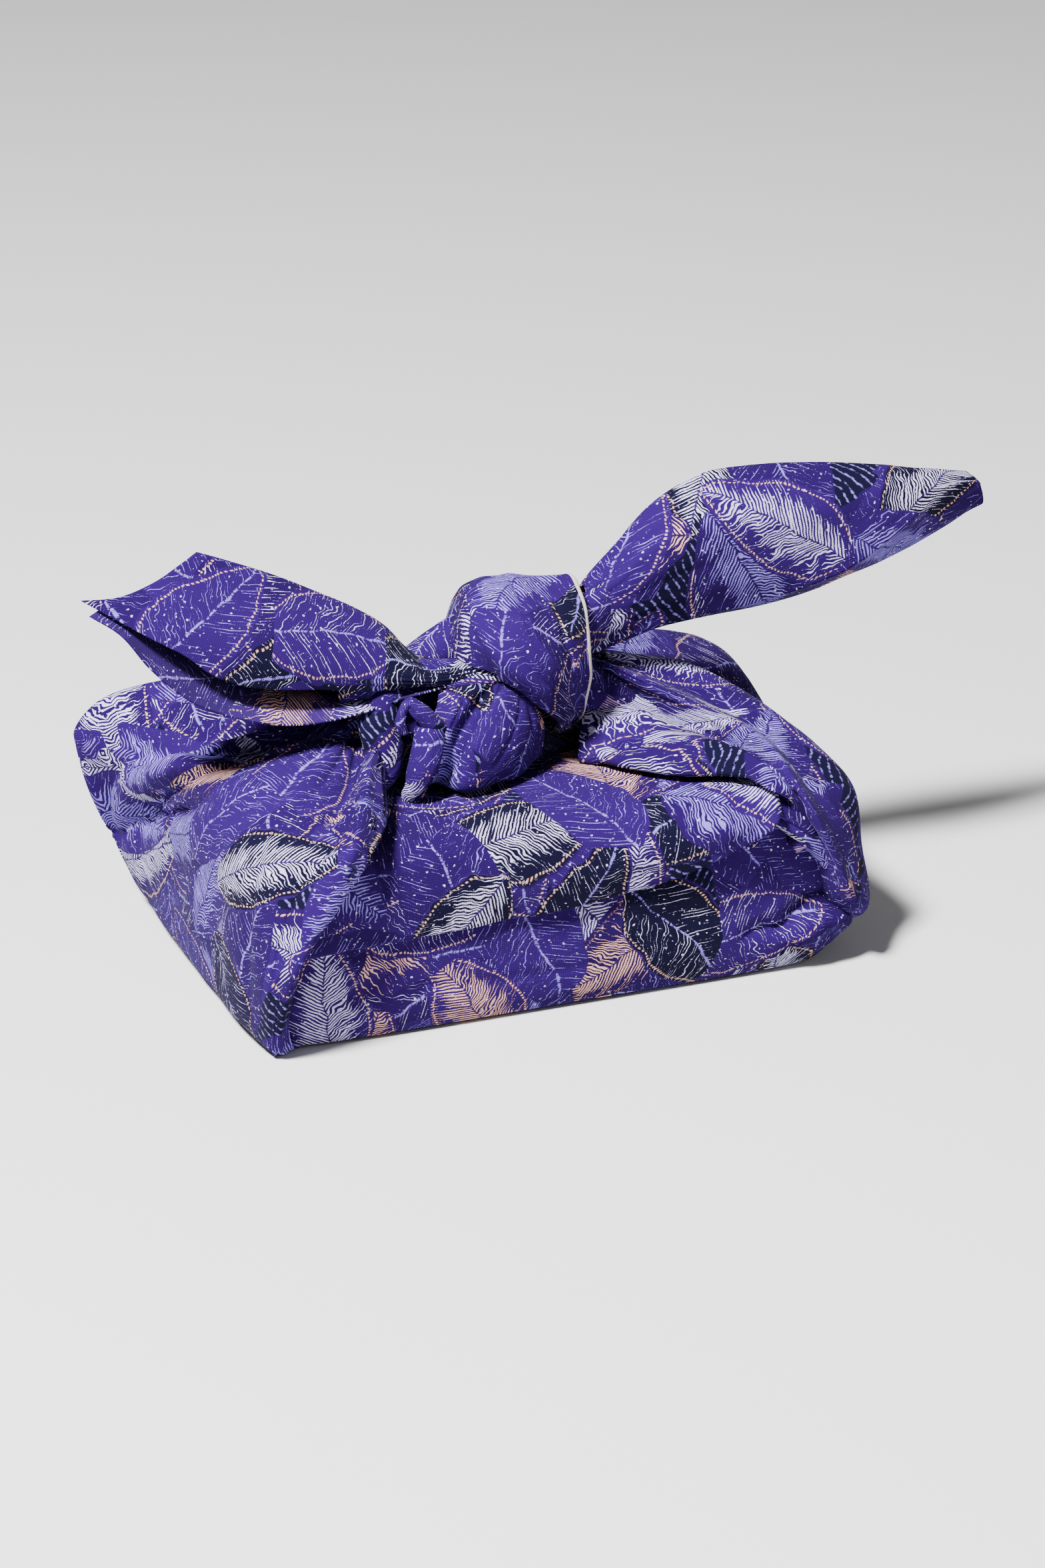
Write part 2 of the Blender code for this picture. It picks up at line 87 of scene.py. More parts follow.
class Value:
    """A number in a node tree; arithmetic on it adds Math nodes."""

    def __init__(self, tree, socket):
        self.tree, self.socket = tree, socket

    def math(self, operation, *others, clamp=False):
        node = self.tree.nodes.new("ShaderNodeMath")
        node.operation, node.use_clamp = operation, clamp
        for place, value in enumerate((self, *others)):
            if isinstance(value, Value):
                self.tree.links.new(value.socket, node.inputs[place])
            else:
                node.inputs[place].default_value = value
        return Value(self.tree, node.outputs[0])

    def __add__(self, other):
        return self.math("ADD", other)

    def __sub__(self, other):
        return self.math("SUBTRACT", other)

    def __mul__(self, other):
        return self.math("MULTIPLY", other)

    def __neg__(self):
        return self.math("MULTIPLY", -1.0)

    def over(self, edge, soft):
        """1 where the value is above the edge, 0 below, with a ramp of the given width."""
        return ((self - edge) * (1.0 / soft) + 0.5).math("ADD", 0.0, clamp=True)


def noise_at(tree, place, scale, detail=2.0):
    node = tree.nodes.new("ShaderNodeTexNoise")
    node.inputs["Scale"].default_value = scale
    node.inputs["Detail"].default_value = detail
    tree.links.new(place, node.inputs["Vector"])
    return Value(tree, node.outputs["Fac"])


def turned(tree, place, angle=0.0, shift=(0.0, 0.0), scale=(1.0, 1.0)):
    """The place on the cloth after a mapping: turn, then scale, then shift."""
    node = tree.nodes.new("ShaderNodeMapping")
    node.inputs["Location"].default_value = (*shift, 0.0)
    node.inputs["Rotation"].default_value = (0.0, 0.0, math.radians(angle))
    node.inputs["Scale"].default_value = (*scale, 1.0)
    tree.links.new(place, node.inputs["Vector"])
    return node.outputs[0]


def split(tree, vector):
    node = tree.nodes.new("ShaderNodeSeparateXYZ")
    tree.links.new(vector, node.inputs[0])
    return Value(tree, node.outputs[0]), Value(tree, node.outputs[1]), Value(tree, node.outputs[2])


def mixed(tree, share, low, high):
    """A colour between two: each is a socket or the name of an ink."""
    node = tree.nodes.new("ShaderNodeMix")
    node.data_type = "RGBA"
    tree.links.new(share.socket, node.inputs[0])
    for slot, colour in ((6, low), (7, high)):
        if isinstance(colour, str):
            node.inputs[slot].default_value = (*INK[colour], 1.0)
        else:
            tree.links.new(colour, node.inputs[slot])
    return node.outputs[2]


def leaf_layer(tree, place, ground, cell, angle, shift, long, wide, leaf_ink):
    """One scattering of printed leaves over the ground colour; gives the new colour."""
    size = 1.0 / cell
    mapped = turned(tree, place, angle, shift, (size, size))
    cells = tree.nodes.new("ShaderNodeTexVoronoi")
    cells.voronoi_dimensions = "2D"
    cells.inputs["Scale"].default_value = 1.0
    cells.inputs["Randomness"].default_value = LEAF_SCATTER
    tree.links.new(mapped, cells.inputs["Vector"])
    offset = tree.nodes.new("ShaderNodeVectorMath")
    offset.operation = "SUBTRACT"
    tree.links.new(mapped, offset.inputs[0])
    tree.links.new(cells.outputs["Position"], offset.inputs[1])
    away_x, away_y, _ = split(tree, offset.outputs[0])
    chance, choice, third = split(tree, cells.outputs["Color"])
    turn = chance * (2.0 * math.pi)
    cosine, sine = turn.math("COSINE"), turn.math("SINE")
    patchy = noise_at(tree, mapped, 6.0)
    wobble = (patchy - 0.5) * LEAF_WOBBLE
    along = (away_x * cosine + away_y * sine + wobble) * (1.0 / long)
    across = (away_y * cosine - away_x * sine + wobble) * (1.0 / wide)
    side = across.math("ABSOLUTE")
    # The outline: an oval that narrows to a point at both ends, widest below the middle
    oval = -(along * along) + 1.0
    outline = oval.math("MAXIMUM", 0.0).math("POWER", 0.75) * (along * -0.30 + 1.0)
    rim = outline - side
    inside = rim.over(0.0, 0.03)
    # Side veins leave the midrib at a slant, as brushed strokes with ragged ends
    phase = (along * (long * cell / STROKE_PITCH)
             - side * (STROKE_SLANT * wide * cell / STROKE_PITCH) + patchy * 2.4)
    stroke_place = tree.nodes.new("ShaderNodeCombineXYZ")
    for slot, value in enumerate((phase * 0.9, across * 2.2, chance * 40.0)):
        tree.links.new(value.socket, stroke_place.inputs[slot])
    stroke = noise_at(tree, stroke_place.outputs[0], 1.0, 1.0)
    grain = noise_at(tree, place, GRAIN, 2.0)
    ink_load = phase.math("PINGPONG", 1.0) + (stroke - 0.5) * 1.3 + (grain - 0.5) * 0.45
    # A pale middle in two leaves of five: there the strokes run together
    middle = outline * 0.62 - side + (stroke - 0.5) * 0.5 + (patchy - 0.5) * 0.5
    core = middle.over(0.08, 0.22) * choice.over(WITHOUT["pale middle"], EITHER_WAY)
    cover = core * 0.48
    line = (ink_load + cover).over(1.03, 0.12)
    # The midrib, fine specks, and in half of the leaves a dotted line along the rim
    rib = (-side).over(-0.022, 0.02) * (-along).over(-0.86, 0.05) * stroke.over(0.45, 0.1)
    specks = noise_at(tree, place, SPECKS, 0.0).over(0.76, 0.04) * patchy.over(0.45, 0.1)
    dots = (along * (long * cell / BEAD_PITCH)).math("SINE").over(0.0, 0.6)
    border = (rim - 0.12).math("ABSOLUTE")
    dotted = (-border).over(-0.018, 0.02) * dots * third.over(WITHOUT["dotted line"], EITHER_WAY)
    # Each leaf draws its inks by chance
    warm = mixed(tree, choice.over(WITHOUT["peach"], EITHER_WAY), "lavender", "peach")
    pale = mixed(tree, third.over(WITHOUT["pale grey"], EITHER_WAY), warm, "pale grey")
    print_in = mixed(tree, third.over(WITHOUT["navy"], EITHER_WAY), leaf_ink, "navy")
    print_in = mixed(tree, line, print_in, pale)
    print_in = mixed(tree, specks, print_in, "pale grey")
    print_in = mixed(tree, rib * (-core + 1.0), print_in, "lavender")
    print_in = mixed(tree, rib * core, print_in, leaf_ink)
    print_in = mixed(tree, dotted, print_in, "peach")
    # A thin margin in the leaf's own ink keeps it clear of the ones below it
    print_in = mixed(tree, (-rim).over(-0.045, 0.03), print_in, leaf_ink)
    return mixed(tree, inside, ground, print_in)


def printed_cotton(name, strength):
    """The cotton from its printed side (strength 1), or its plainer reverse."""
    material = bpy.data.materials.new(name)
    material.use_nodes = True
    tree = material.node_tree
    finish = tree.nodes["Principled BSDF"]
    uv = tree.nodes.new("ShaderNodeUVMap")
    uv.uv_map = "cloth"
    place = uv.outputs[0]
    fuzz = noise_at(tree, place, FUZZ, 3.0)
    # Ground: navy with fine wavy hatching
    wave = noise_at(tree, place, 60.0)
    x, y, _ = split(tree, place)
    hatch = x * HATCHING[0] + y * HATCHING[1] + wave * HATCHING[2]
    ripple = (hatch.math("SINE") + (fuzz - 0.5) * 3.0).over(0.95, 0.5)
    colour = mixed(tree, ripple * 0.75, "navy", "lavender")
    for cell, angle, shift, long, wide, ink in LEAF_LAYERS:
        colour = leaf_layer(tree, place, colour, cell, angle, shift, long, wide, ink)
    # Weave: two sets of threads, over and under. Their relief shapes the bump, and it also scales the
    # colour: painted shade in the hollows between the threads and painted light on their crossings,
    # with the slubs' own uneven tone
    threads = turned(tree, place, 0.0, (0.0, 0.0), (WEAVE_SCALE, WEAVE_SCALE))
    warp, weft, _ = split(tree, threads)
    weave = warp.math("SINE") * weft.math("SINE")
    slub = noise_at(tree, turned(tree, place, 0.0, (0.0, 0.0), (1.0, 0.15)), GRAIN)
    relief = weave * 0.5 + (slub - 0.5) * 0.8
    # Painted shade and light of the weave, about a tenth either way, together with the slubs' tone
    weave_shade_and_slub_tone = relief * 0.10 + 1.0
    painted_weave_shade = tree.nodes.new("ShaderNodeVectorMath")
    painted_weave_shade.operation = "SCALE"
    tree.links.new(colour, painted_weave_shade.inputs[0])
    tree.links.new(weave_shade_and_slub_tone.socket, painted_weave_shade.inputs["Scale"])
    final = painted_weave_shade.outputs[0]
    if strength < 1.0:
        bare = tree.nodes.new("ShaderNodeMix")
        bare.data_type = "RGBA"
        bare.inputs[0].default_value = 1.0 - strength
        tree.links.new(final, bare.inputs[6])
        bare.inputs[7].default_value = (*REVERSE_GROUND, 1.0)
        final = bare.outputs[2]
    tree.links.new(final, finish.inputs["Base Color"])
    finish.inputs["Roughness"].default_value = 0.86
    finish.inputs["Sheen Weight"].default_value = 0.01
    finish.inputs["Sheen Roughness"].default_value = 0.5
    finish.inputs["Specular IOR Level"].default_value = 0.04
    bump = tree.nodes.new("ShaderNodeBump")
    bump.inputs["Strength"].default_value = 0.45
    bump.inputs["Distance"].default_value = 0.00018
    tree.links.new(relief.socket, bump.inputs["Height"])
    tree.links.new(bump.outputs[0], finish.inputs["Normal"])
    return material


PRINTED = printed_cotton("printed cotton", 1.0)
REVERSE = printed_cotton("printed cotton reverse", 0.88)
BARE = bpy.data.materials.new("bare cotton edge")
BARE.use_nodes = True
BARE.node_tree.nodes["Principled BSDF"].inputs["Base Color"].default_value = (*INK["bare cotton"], 1.0)
BARE.node_tree.nodes["Principled BSDF"].inputs["Roughness"].default_value = 0.9


# ------------------------------------------------------------------ the layer round the parcel
# The layer that lies on the box: the lower front wall, the ends, the back and the underside.
# It is the same cotton, drawn tight and folded in under the flap and the ears.

TINY = 1e-9                 # keeps a length of nothing from being divided by


def hermite(t, start, end, leaving, arriving):
    """A cubic from start to end with the given slopes at its ends; t runs from 0 to 1."""
    return ((2 * t**3 - 3 * t**2 + 1) * start + (t**3 - 2 * t**2 + t) * leaving
            + (3 * t**2 - 2 * t**3) * end + (t**3 - t**2) * arriving)


def spans_of(grid, axis):
    """The lengths between neighbouring points of a grid or line, along one axis."""
    return np.linalg.norm(np.diff(grid, axis=axis), axis=-1)


def smooth_line(points, count):
    """Evenly spread points on a smooth curve through the given points."""
    points = np.asarray(points, float)
    steps = spans_of(points, 0) ** 0.5 + TINY
    knots = np.concatenate([[0.0], np.cumsum(steps)])
    slopes = np.gradient(points, knots, axis=0)
    dense = np.linspace(0.0, knots[-1], 40 * len(points))
    place = np.clip(np.searchsorted(knots, dense, side="right") - 1, 0, len(knots) - 2)
    width = (knots[place + 1] - knots[place])[:, None]
    t = (dense - knots[place])[:, None] / width
    curve = hermite(t, points[place], points[place + 1],
                    width * slopes[place], width * slopes[place + 1])
    lengths = np.concatenate([[0.0], np.cumsum(spans_of(curve, 0))])
    wanted = np.linspace(0.0, lengths[-1], count)
    return np.stack([np.interp(wanted, lengths, curve[:, axis]) for axis in range(3)], axis=1)


def skin(folds, gap_rows=16, columns=150):
    """A fine grid through a table of folds: (name, sharpness, point, point, ...).

    Sharpness 0 rolls the cloth over the fold, 1 creases it.
    """
    lines = np.stack([smooth_line(fold[2:], columns) for fold in folds])
    sharp = [fold[1] for fold in folds]
    gaps = spans_of(lines, 0)[:, :, None] + 0.3         # never nothing, where folds meet
    chord = np.diff(lines, axis=0) / gaps
    into, out = [chord[0]], []
    for fold in range(1, len(folds) - 1):
        low, high = gaps[fold - 1], gaps[fold]
        middle = (chord[fold - 1] * high + chord[fold] * low) / (low + high)
        into.append(middle + (chord[fold - 1] - middle) * sharp[fold])
        out.append(middle + (chord[fold] - middle) * sharp[fold])
    into, out = into[1:] + [chord[-1]], [chord[0]] + out
    rows = []
    for gap in range(len(folds) - 1):
        for step in range(gap_rows):
            rows.append(hermite(step / gap_rows, lines[gap], lines[gap + 1],
                                gaps[gap] * out[gap], gaps[gap] * into[gap]))
    rows.append(lines[-1])
    return np.stack(rows)


def outward(grid, closed=False):
    """Unit normals of a grid, pointing away from the wrap's middle line."""
    if closed:
        across = (np.roll(grid, -1, axis=1) - np.roll(grid, 1, axis=1)) / 2.0
    else:
        across = np.gradient(grid, axis=1)
    normal = np.cross(np.gradient(grid, axis=0), across)
    normal = normal / (np.linalg.norm(normal, axis=2, keepdims=True) + TINY)
    if np.sum(normal * (grid - grid.mean(axis=(0, 1)))) < 0.0:
        normal = -normal
    return normal


def rumple(grid, size, depth, stretch=(1.0, 1.0), seed=0.0, closed=False):
    """Soft unevenness along the normals: size and depth in mm, stretch along rows and columns."""
    rows, columns = grid.shape[:2]
    down = np.concatenate([[0.0], np.cumsum(spans_of(grid, 0).mean(1))])
    over = np.concatenate([[0.0], np.cumsum(spans_of(grid, 1).mean(0))])
    long, wide = size * stretch[0], size * stretch[1]
    lift = np.zeros((rows, columns))
    for row in range(rows):
        for column in range(columns):
            if closed:
                angle = 2.0 * math.pi * column / columns
                reach = over[-1] / (2.0 * math.pi * wide)
                x, y, z = math.cos(angle) * reach, math.sin(angle) * reach + seed, down[row] / long
            else:
                x, y, z = down[row] / long, over[column] / wide, seed
            wave = noise.noise((x, y, z)) + 0.5 * noise.noise((x * 2.3, y * 2.3, z * 2.3 + 9.0))
            # Soft swells, with narrow troughs where the wave passes through nothing
            lift[row, column] = 0.6 * wave + 0.4 * (0.35 - abs(wave))
    return grid + outward(grid, closed) * (lift * depth)[:, :, None]


MARK_POINTS = 60            # points on each creased line


def crease(grid, marks, closed=False):
    """Press valleys (depth above 0) or raise ridges (below 0) along lines on a grid.

    marks: rows of (half width, depth, point, point, ...), all in mm. Each line is moved on
    to the grid, and fades at its ends.
    """
    normal = outward(grid, closed)
    lift = np.zeros(grid.shape[:2])
    for half_width, depth, *points in marks:
        path = smooth_line(points, MARK_POINTS)
        apart = np.linalg.norm(grid[:, :, None, :] - path[None, None, :, :], axis=3)
        nearest = apart.reshape(-1, MARK_POINTS).argmin(axis=0)
        path = grid.reshape(-1, 3)[nearest]
        apart = np.linalg.norm(grid[:, :, None, :] - path[None, None, :, :], axis=3)
        fade = np.sin(math.pi * (apart.argmin(axis=2) + 0.5) / MARK_POINTS) ** 0.5
        lift -= depth * fade * np.exp(-(apart.min(axis=2) / half_width) ** 1.4)
    return grid + normal * lift[:, :, None]


def gathers(grid, pleats, depth, start, seed):
    """Fine pleats along the columns; they deepen towards the last column, where it is drawn in."""
    rows, columns = grid.shape[:2]
    lift = np.zeros((rows, columns))
    for column in range(columns):
        pull = min(max((column / (columns - 1) - start) / (1.0 - start), 0.0), 1.0)
        if pull > 0.0:
            for row in range(rows):
                wave = noise.noise((row / (rows - 1) * pleats, column / (columns - 1) * 2.2, seed))
                lift[row, column] = depth * pull * (min(1.0, 2.4 * abs(wave)) ** 0.7 - 0.45)
    return grid + outward(grid) * lift[:, :, None]


def turned_edge(grid, edge, radius, reach):
    """Roll one edge of a grid back under itself, round a soft turned lip."""
    if edge == "first row":
        return turned_edge(grid[::-1], "last row", radius, reach)[::-1]
    if edge == "last row":
        return turned_edge(grid.transpose(1, 0, 2), "last column", radius, reach).transpose(1, 0, 2)
    end = grid[:, -1]
    ahead = end - grid[:, -3]
    ahead = ahead / (np.linalg.norm(ahead, axis=1, keepdims=True) + TINY)
    inward = -outward(grid)[:, -1]
    added = [end + radius * (ahead * math.sin(angle) + inward * (1.0 - math.cos(angle)))
             for angle in np.linspace(0.0, math.pi, 9)[1:]]
    added += [added[-1] - ahead * step for step in np.linspace(0.0, reach, 5)[1:]]
    return np.concatenate([grid, np.stack(added, axis=1)], axis=1)


EASE_TURNS = 900            # rounds of easing a sheet flat
EASE_PUSH = 1.6             # share of the mean correction taken in each round
COARSE = 40                 # rows and columns of the sheet while it is eased


def flatten(grid):
    """The places of a grid's points on the flat cloth, in mm.

    A coarse copy starts as rows and columns of the true lengths. Its edges and diagonals
    are then eased until each has the length that it has in the folded cloth.
    """
    rows, columns = grid.shape[:2]
    down = np.unique(np.linspace(0, rows - 1, min(rows, COARSE)).round().astype(int))
    over = np.unique(np.linspace(0, columns - 1, min(columns, COARSE)).round().astype(int))
    run = np.concatenate([np.zeros((rows, 1)), np.cumsum(spans_of(grid, 1), axis=1)], axis=1)
    rise = np.concatenate([np.zeros((1, columns)), np.cumsum(spans_of(grid, 0), axis=0)])
    run, rise = run[np.ix_(down, over)], rise[np.ix_(down, over)]
    flat = np.stack([run - run[:, :1], rise - rise[len(down) // 2]], axis=2)
    coarse = grid[np.ix_(down, over)]
    every, first, last = slice(None), slice(0, -1), slice(1, None)
    pairs = [((every, first), (every, last), np.diff(run, axis=1)),
             ((first, every), (last, every), np.diff(rise, axis=0))]
    for here, there in (((first, first), (last, last)), ((last, first), (first, last))):
        pairs.append((here, there, np.linalg.norm(coarse[there] - coarse[here], axis=2)))
    for _ in range(EASE_TURNS):
        push, count = np.zeros_like(flat), np.zeros(flat.shape[:2])
        for here, there, length in pairs:
            gap = flat[there] - flat[here]
            now = np.linalg.norm(gap, axis=2) + TINY
            step = gap * (0.5 * (now - length) / now)[:, :, None]
            push[here] += step
            push[there] -= step
            count[here] += 1.0
            count[there] += 1.0
        flat += EASE_PUSH * push / count[:, :, None]
    parts = []
    for part in (0, 1):
        fine = np.stack([np.interp(np.arange(columns), over, row) for row in flat[:, :, part]])
        parts.append(np.stack([np.interp(np.arange(rows), down, column) for column in fine.T], axis=1))
    return np.stack(parts, axis=2)


def wound(grid):
    """The places of a closed grid's points on the flat cloth: round its middle row and up it."""
    rows = grid.shape[0]
    closed = np.concatenate([grid, grid[:, :1]], axis=1)
    rounds = spans_of(closed, 1)
    widest = rounds[rounds.sum(axis=1).argmax()]
    run = np.concatenate([[0.0], np.cumsum(widest)])
    rise = np.concatenate([[0.0], np.cumsum(spans_of(grid, 0).mean(axis=1))])
    heights = np.repeat(rise[:, None], len(run), axis=1)
    return np.stack([np.repeat(run[None], rows, axis=0), heights], axis=2)


LEAST_HEIGHT = 0.6          # mm, of the open sheets' feet over the table
COTTON_THICKNESS = 0.5      # mm, with the air between fuzzy faces
BIAS = math.radians(45.0)   # the corners are drawn in, so the print lies on the bias


def cloth(name, grid, spot, closed=False, flat_below=None, bare_from=None):
    """A sheet from a grid of points, with its place on the flat square as its UVs.

    flat_below: the height up to which the cloth lies flat, with its print straight.
    bare_from: the row from which the cloth is unprinted, as along its edge.
    """
    grid = grid.copy()
    grid[:, :, 2] = np.maximum(grid[:, :, 2], 0.0 if closed else LEAST_HEIGHT)
    rows, columns = grid.shape[:2]
    flat = wound(grid) if closed else flatten(grid)
    cosine, sine = math.cos(BIAS), math.sin(BIAS)
    across_u = flat[:, :, 0] * cosine - flat[:, :, 1] * sine + spot[0]
    across_v = flat[:, :, 0] * sine + flat[:, :, 1] * cosine + spot[1]
    spans = columns if closed else columns - 1
    faces, places = [], []
    for row in range(rows - 1):
        for column in range(spans):
            following = (column + 1) % columns
            faces.append((row * columns + column, row * columns + following,
                          (row + 1) * columns + following, (row + 1) * columns + column))
            places.append(((row, column), (row, column + 1),
                           (row + 1, column + 1), (row + 1, column)))
    mesh = bpy.data.meshes.new(name)
    points = [tuple(float(value) * MM for value in point) for point in grid.reshape(-1, 3)]
    mesh.from_pydata(points, [], faces)
    facing = np.cross(grid[1:, :-1] - grid[:-1, :-1], grid[:-1, 1:] - grid[:-1, :-1])
    wanted = outward(grid, closed)[:-1, :-1]
    inside_out = float(np.sum(facing * wanted)) > 0.0
    uv = mesh.uv_layers.new(name="cloth")
    for face, corners in zip(mesh.polygons, places):
        low = all(grid[r, c % columns][2] < flat_below for r, c in corners) if flat_below else False
        for loop, (row, column) in zip(face.loop_indices, corners):
            if low:
                point = grid[row, column % columns]
                u, v = point[0] + spot[0], point[1] + spot[1]
            else:
                u, v = across_u[row, column], across_v[row, column]
            uv.data[loop].uv = (u * MM, v * MM)
    if inside_out:
        mesh.flip_normals()
    for material in (PRINTED, REVERSE, BARE, BARE):
        mesh.materials.append(material)
    for face in mesh.polygons:
        face.use_smooth = True
        if bare_from is not None and face.index // spans >= bare_from:
            face.material_index = 2
    piece = bpy.data.objects.new(name, mesh)
    bpy.context.scene.collection.objects.link(piece)
    ply = piece.modifiers.new("ply", "SOLIDIFY")
    ply.thickness = COTTON_THICKNESS * MM
    ply.offset = -1.0
    ply.material_offset = 1
    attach(piece, "root")
    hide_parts("furoshiki_wrap")
    return piece


# Levels of the parcel: height, middle (x), half width, half depth, squareness of the corners
PARCEL_LEVELS = (
    (0.0, 0.0, 2.0, 2.0, 4.0), (0.0, 0.0, 40.0, 26.0, 5.0), (0.0, -2.0, 66.0, 44.0, 7.0),
    (0.0, -4.0, 71.5, 48.5, 12.0), (1.2, -3.0, 74.4, 50.6, 12.0), (5.0, -1.4, 77.0, 52.0, 12.0),
    (9.5, 0.0, 78.4, 52.8, 12.0), (13.0, 0.4, 79.4, 52.8, 13.0), (17.0, 0.0, 78.6, 52.6, 11.0),
    (22.0, 0.0, 77.8, 52.4, 10.0), (30.0, 0.0, 77.6, 52.4, 10.0), (40.0, 0.0, 76.8, 51.4, 9.0),
    (45.0, 0.0, 74.6, 49.4, 7.5), (47.6, 0.0, 70.6, 45.6, 6.5), (48.8, 0.0, 60.0, 36.0, 5.0),
)


def parcel_skin(rows, columns):
    """A closed grid round the parcel, from the middle of its underside up to its top."""
    levels = np.asarray(PARCEL_LEVELS)
    lengths = np.concatenate([[0.0], np.cumsum(spans_of(levels[:, :4], 0))])
    place = np.unique(np.concatenate([np.linspace(0.0, lengths[-1], rows), lengths]))
    table = np.stack([np.interp(place, lengths, levels[:, part]) for part in range(5)], axis=1)
    angle = 2.0 * np.pi * (np.arange(columns) + 0.5) / columns
    cosine, sine = np.cos(angle), np.sin(angle)
    square = table[:, 4:5]
    reach = (np.abs(cosine) ** square + np.abs(sine) ** square) ** (-1.0 / square)
    return np.stack([table[:, 1:2] + table[:, 2:3] * cosine * reach,
                     table[:, 3:4] * sine * reach,
                     np.repeat(table[:, :1], columns, axis=1)], axis=2)


# Creases drawn across the front wall: one right under the flap's lip, then those where
# the cloth is folded in at the right corner
UNDER_CREASES = (
    (1.6, 1.7, (-66, -53, 24.2), (-30, -53, 25.6), (-6, -53, 26.4), (15, -53, 28.2), (32, -53, 32.0),
     (43, -53, 36.8)),
    (1.8, 3.4, (44, -53, 11), (50, -53, 13.5), (56, -53, 13), (60, -53, 16.5), (65, -53, 19),
     (71, -53, 18.5), (77, -51, 15.5)),
    (4.5, -3.2, (55, -53, 8), (62, -53, 11), (70, -52, 12), (77, -48, 11.5)),
    (1.6, 1.2, (55, -53, 13), (58, -53, 9), (61, -53, 4)),
    (1.4, 0.7, (63, -53, 14), (67, -53, 11), (70, -52, 7)),
    (2.2, 1.0, (-52, -53, 14), (-30, -53, 11.5), (-5, -53, 10.5), (20, -53, 12)),
    (2.6, 0.8, (10, -53, 24), (30, -53, 20), (50, -53, 20), (62, -53, 24)),
    (2.0, 0.9, (-70, -50, 8), (-58, -53, 13), (-40, -53, 20)),
)
body = parcel_skin(rows=90, columns=400)
lifted = rumple(crease(body, UNDER_CREASES, closed=True),
                size=16.0, depth=0.9, stretch=(1.0, 2.0), seed=4.0, closed=True)
# The underside stays flat: the unevenness sets in from 0.5 to 3.5 mm over the table
share = np.clip((body[:, :, 2:3] - 0.5) / 3.0, 0.0, 1.0)
body = body * (1.0 - share) + lifted * share
underwrap = cloth("under_layer", body, spot=(250.0, 250.0), closed=True, flat_below=0.6)

# ------------------------------------------------------------------ the flap
# The corner of the cloth from behind: over the top of the parcel and down its front wall.
# The same cotton; its lip is a soft turned edge, held by nothing but the knot above.

FLAP_FOLDS = (
    # line, sharpness, back rise, back, middle, front, brow, front wall, lip
    ("left", 0, (-70, 49, 44), (-70, 30, 48.8), (-70, 0, 49.6), (-70, -34, 49.4), (-70, -50, 46.5),
     (-70, -54, 38), (-70, -53.9, 26.2)),
    ("west", 0, (-50, 50, 44), (-50, 30, 50.0), (-50, 0, 50.8), (-50, -34, 50.6), (-50, -50, 47.4),
     (-50, -54.2, 38), (-50, -54.1, 27.0)),
    ("hollow", 0, (-30, 50, 44), (-30, 30, 49.8), (-30, 0, 50.4), (-30, -34, 49.6), (-30, -50, 46.2),
     (-30, -53.6, 38), (-30, -53.8, 27.5)),
    ("swell", 0, (-6, 50, 44), (-6, 30, 50.0), (-6, 0, 51.0), (-6, -34, 50.8), (-6, -50, 47.6),
     (-6, -55, 38), (-6, -54.4, 28.4)),
    ("east", 0, (16, 50, 44), (16, 30, 50.0), (16, 0, 50.8), (16, -34, 50.4), (16, -50, 47.4),
     (16, -55.4, 39), (15, -54.6, 30.2)),
    ("turn", 0, (34, 50, 44), (34, 30, 49.6), (34, 0, 50.6), (34, -36, 50.8), (34, -51, 48.6),
     (34, -56.4, 42), (32, -55.6, 34.1)),
    ("corner", 0, (50, 50, 44), (50, 30, 49.2), (50, 0, 50.2), (46, -36, 51.6), (45, -51, 51.0),
     (45, -57.6, 45), (43, -57.4, 38.9)),
    ("end", 0, (62, 50, 44), (62, 30, 48.8), (62, 0, 49.6), (54, -34, 51.0), (50.5, -47, 51.8),
     (51.5, -55.5, 50), (51.5, -59.0, 45.5)),
    ("tuck", 0, (70, 49, 44), (70, 30, 48.6), (70, 0, 49.0), (62, -30, 49.0), (56, -42, 49.8),
     (55, -49, 49.5), (54.5, -53.0, 47.5)),
)
flap_skin = skin(FLAP_FOLDS)
flap_skin = rumple(flap_skin, size=14.0, depth=1.0, stretch=(1.3, 1.0), seed=1.0)
flap_skin = turned_edge(flap_skin, "last column", radius=1.1, reach=8.0)
flap = cloth("flap", flap_skin, spot=(300.0, 120.0))

# ------------------------------------------------------------------ the ears
# The left and right corners of the cotton: each lies on an end of the parcel, rises over
# it and is drawn in to the knot in soft folds, which are what hold it.

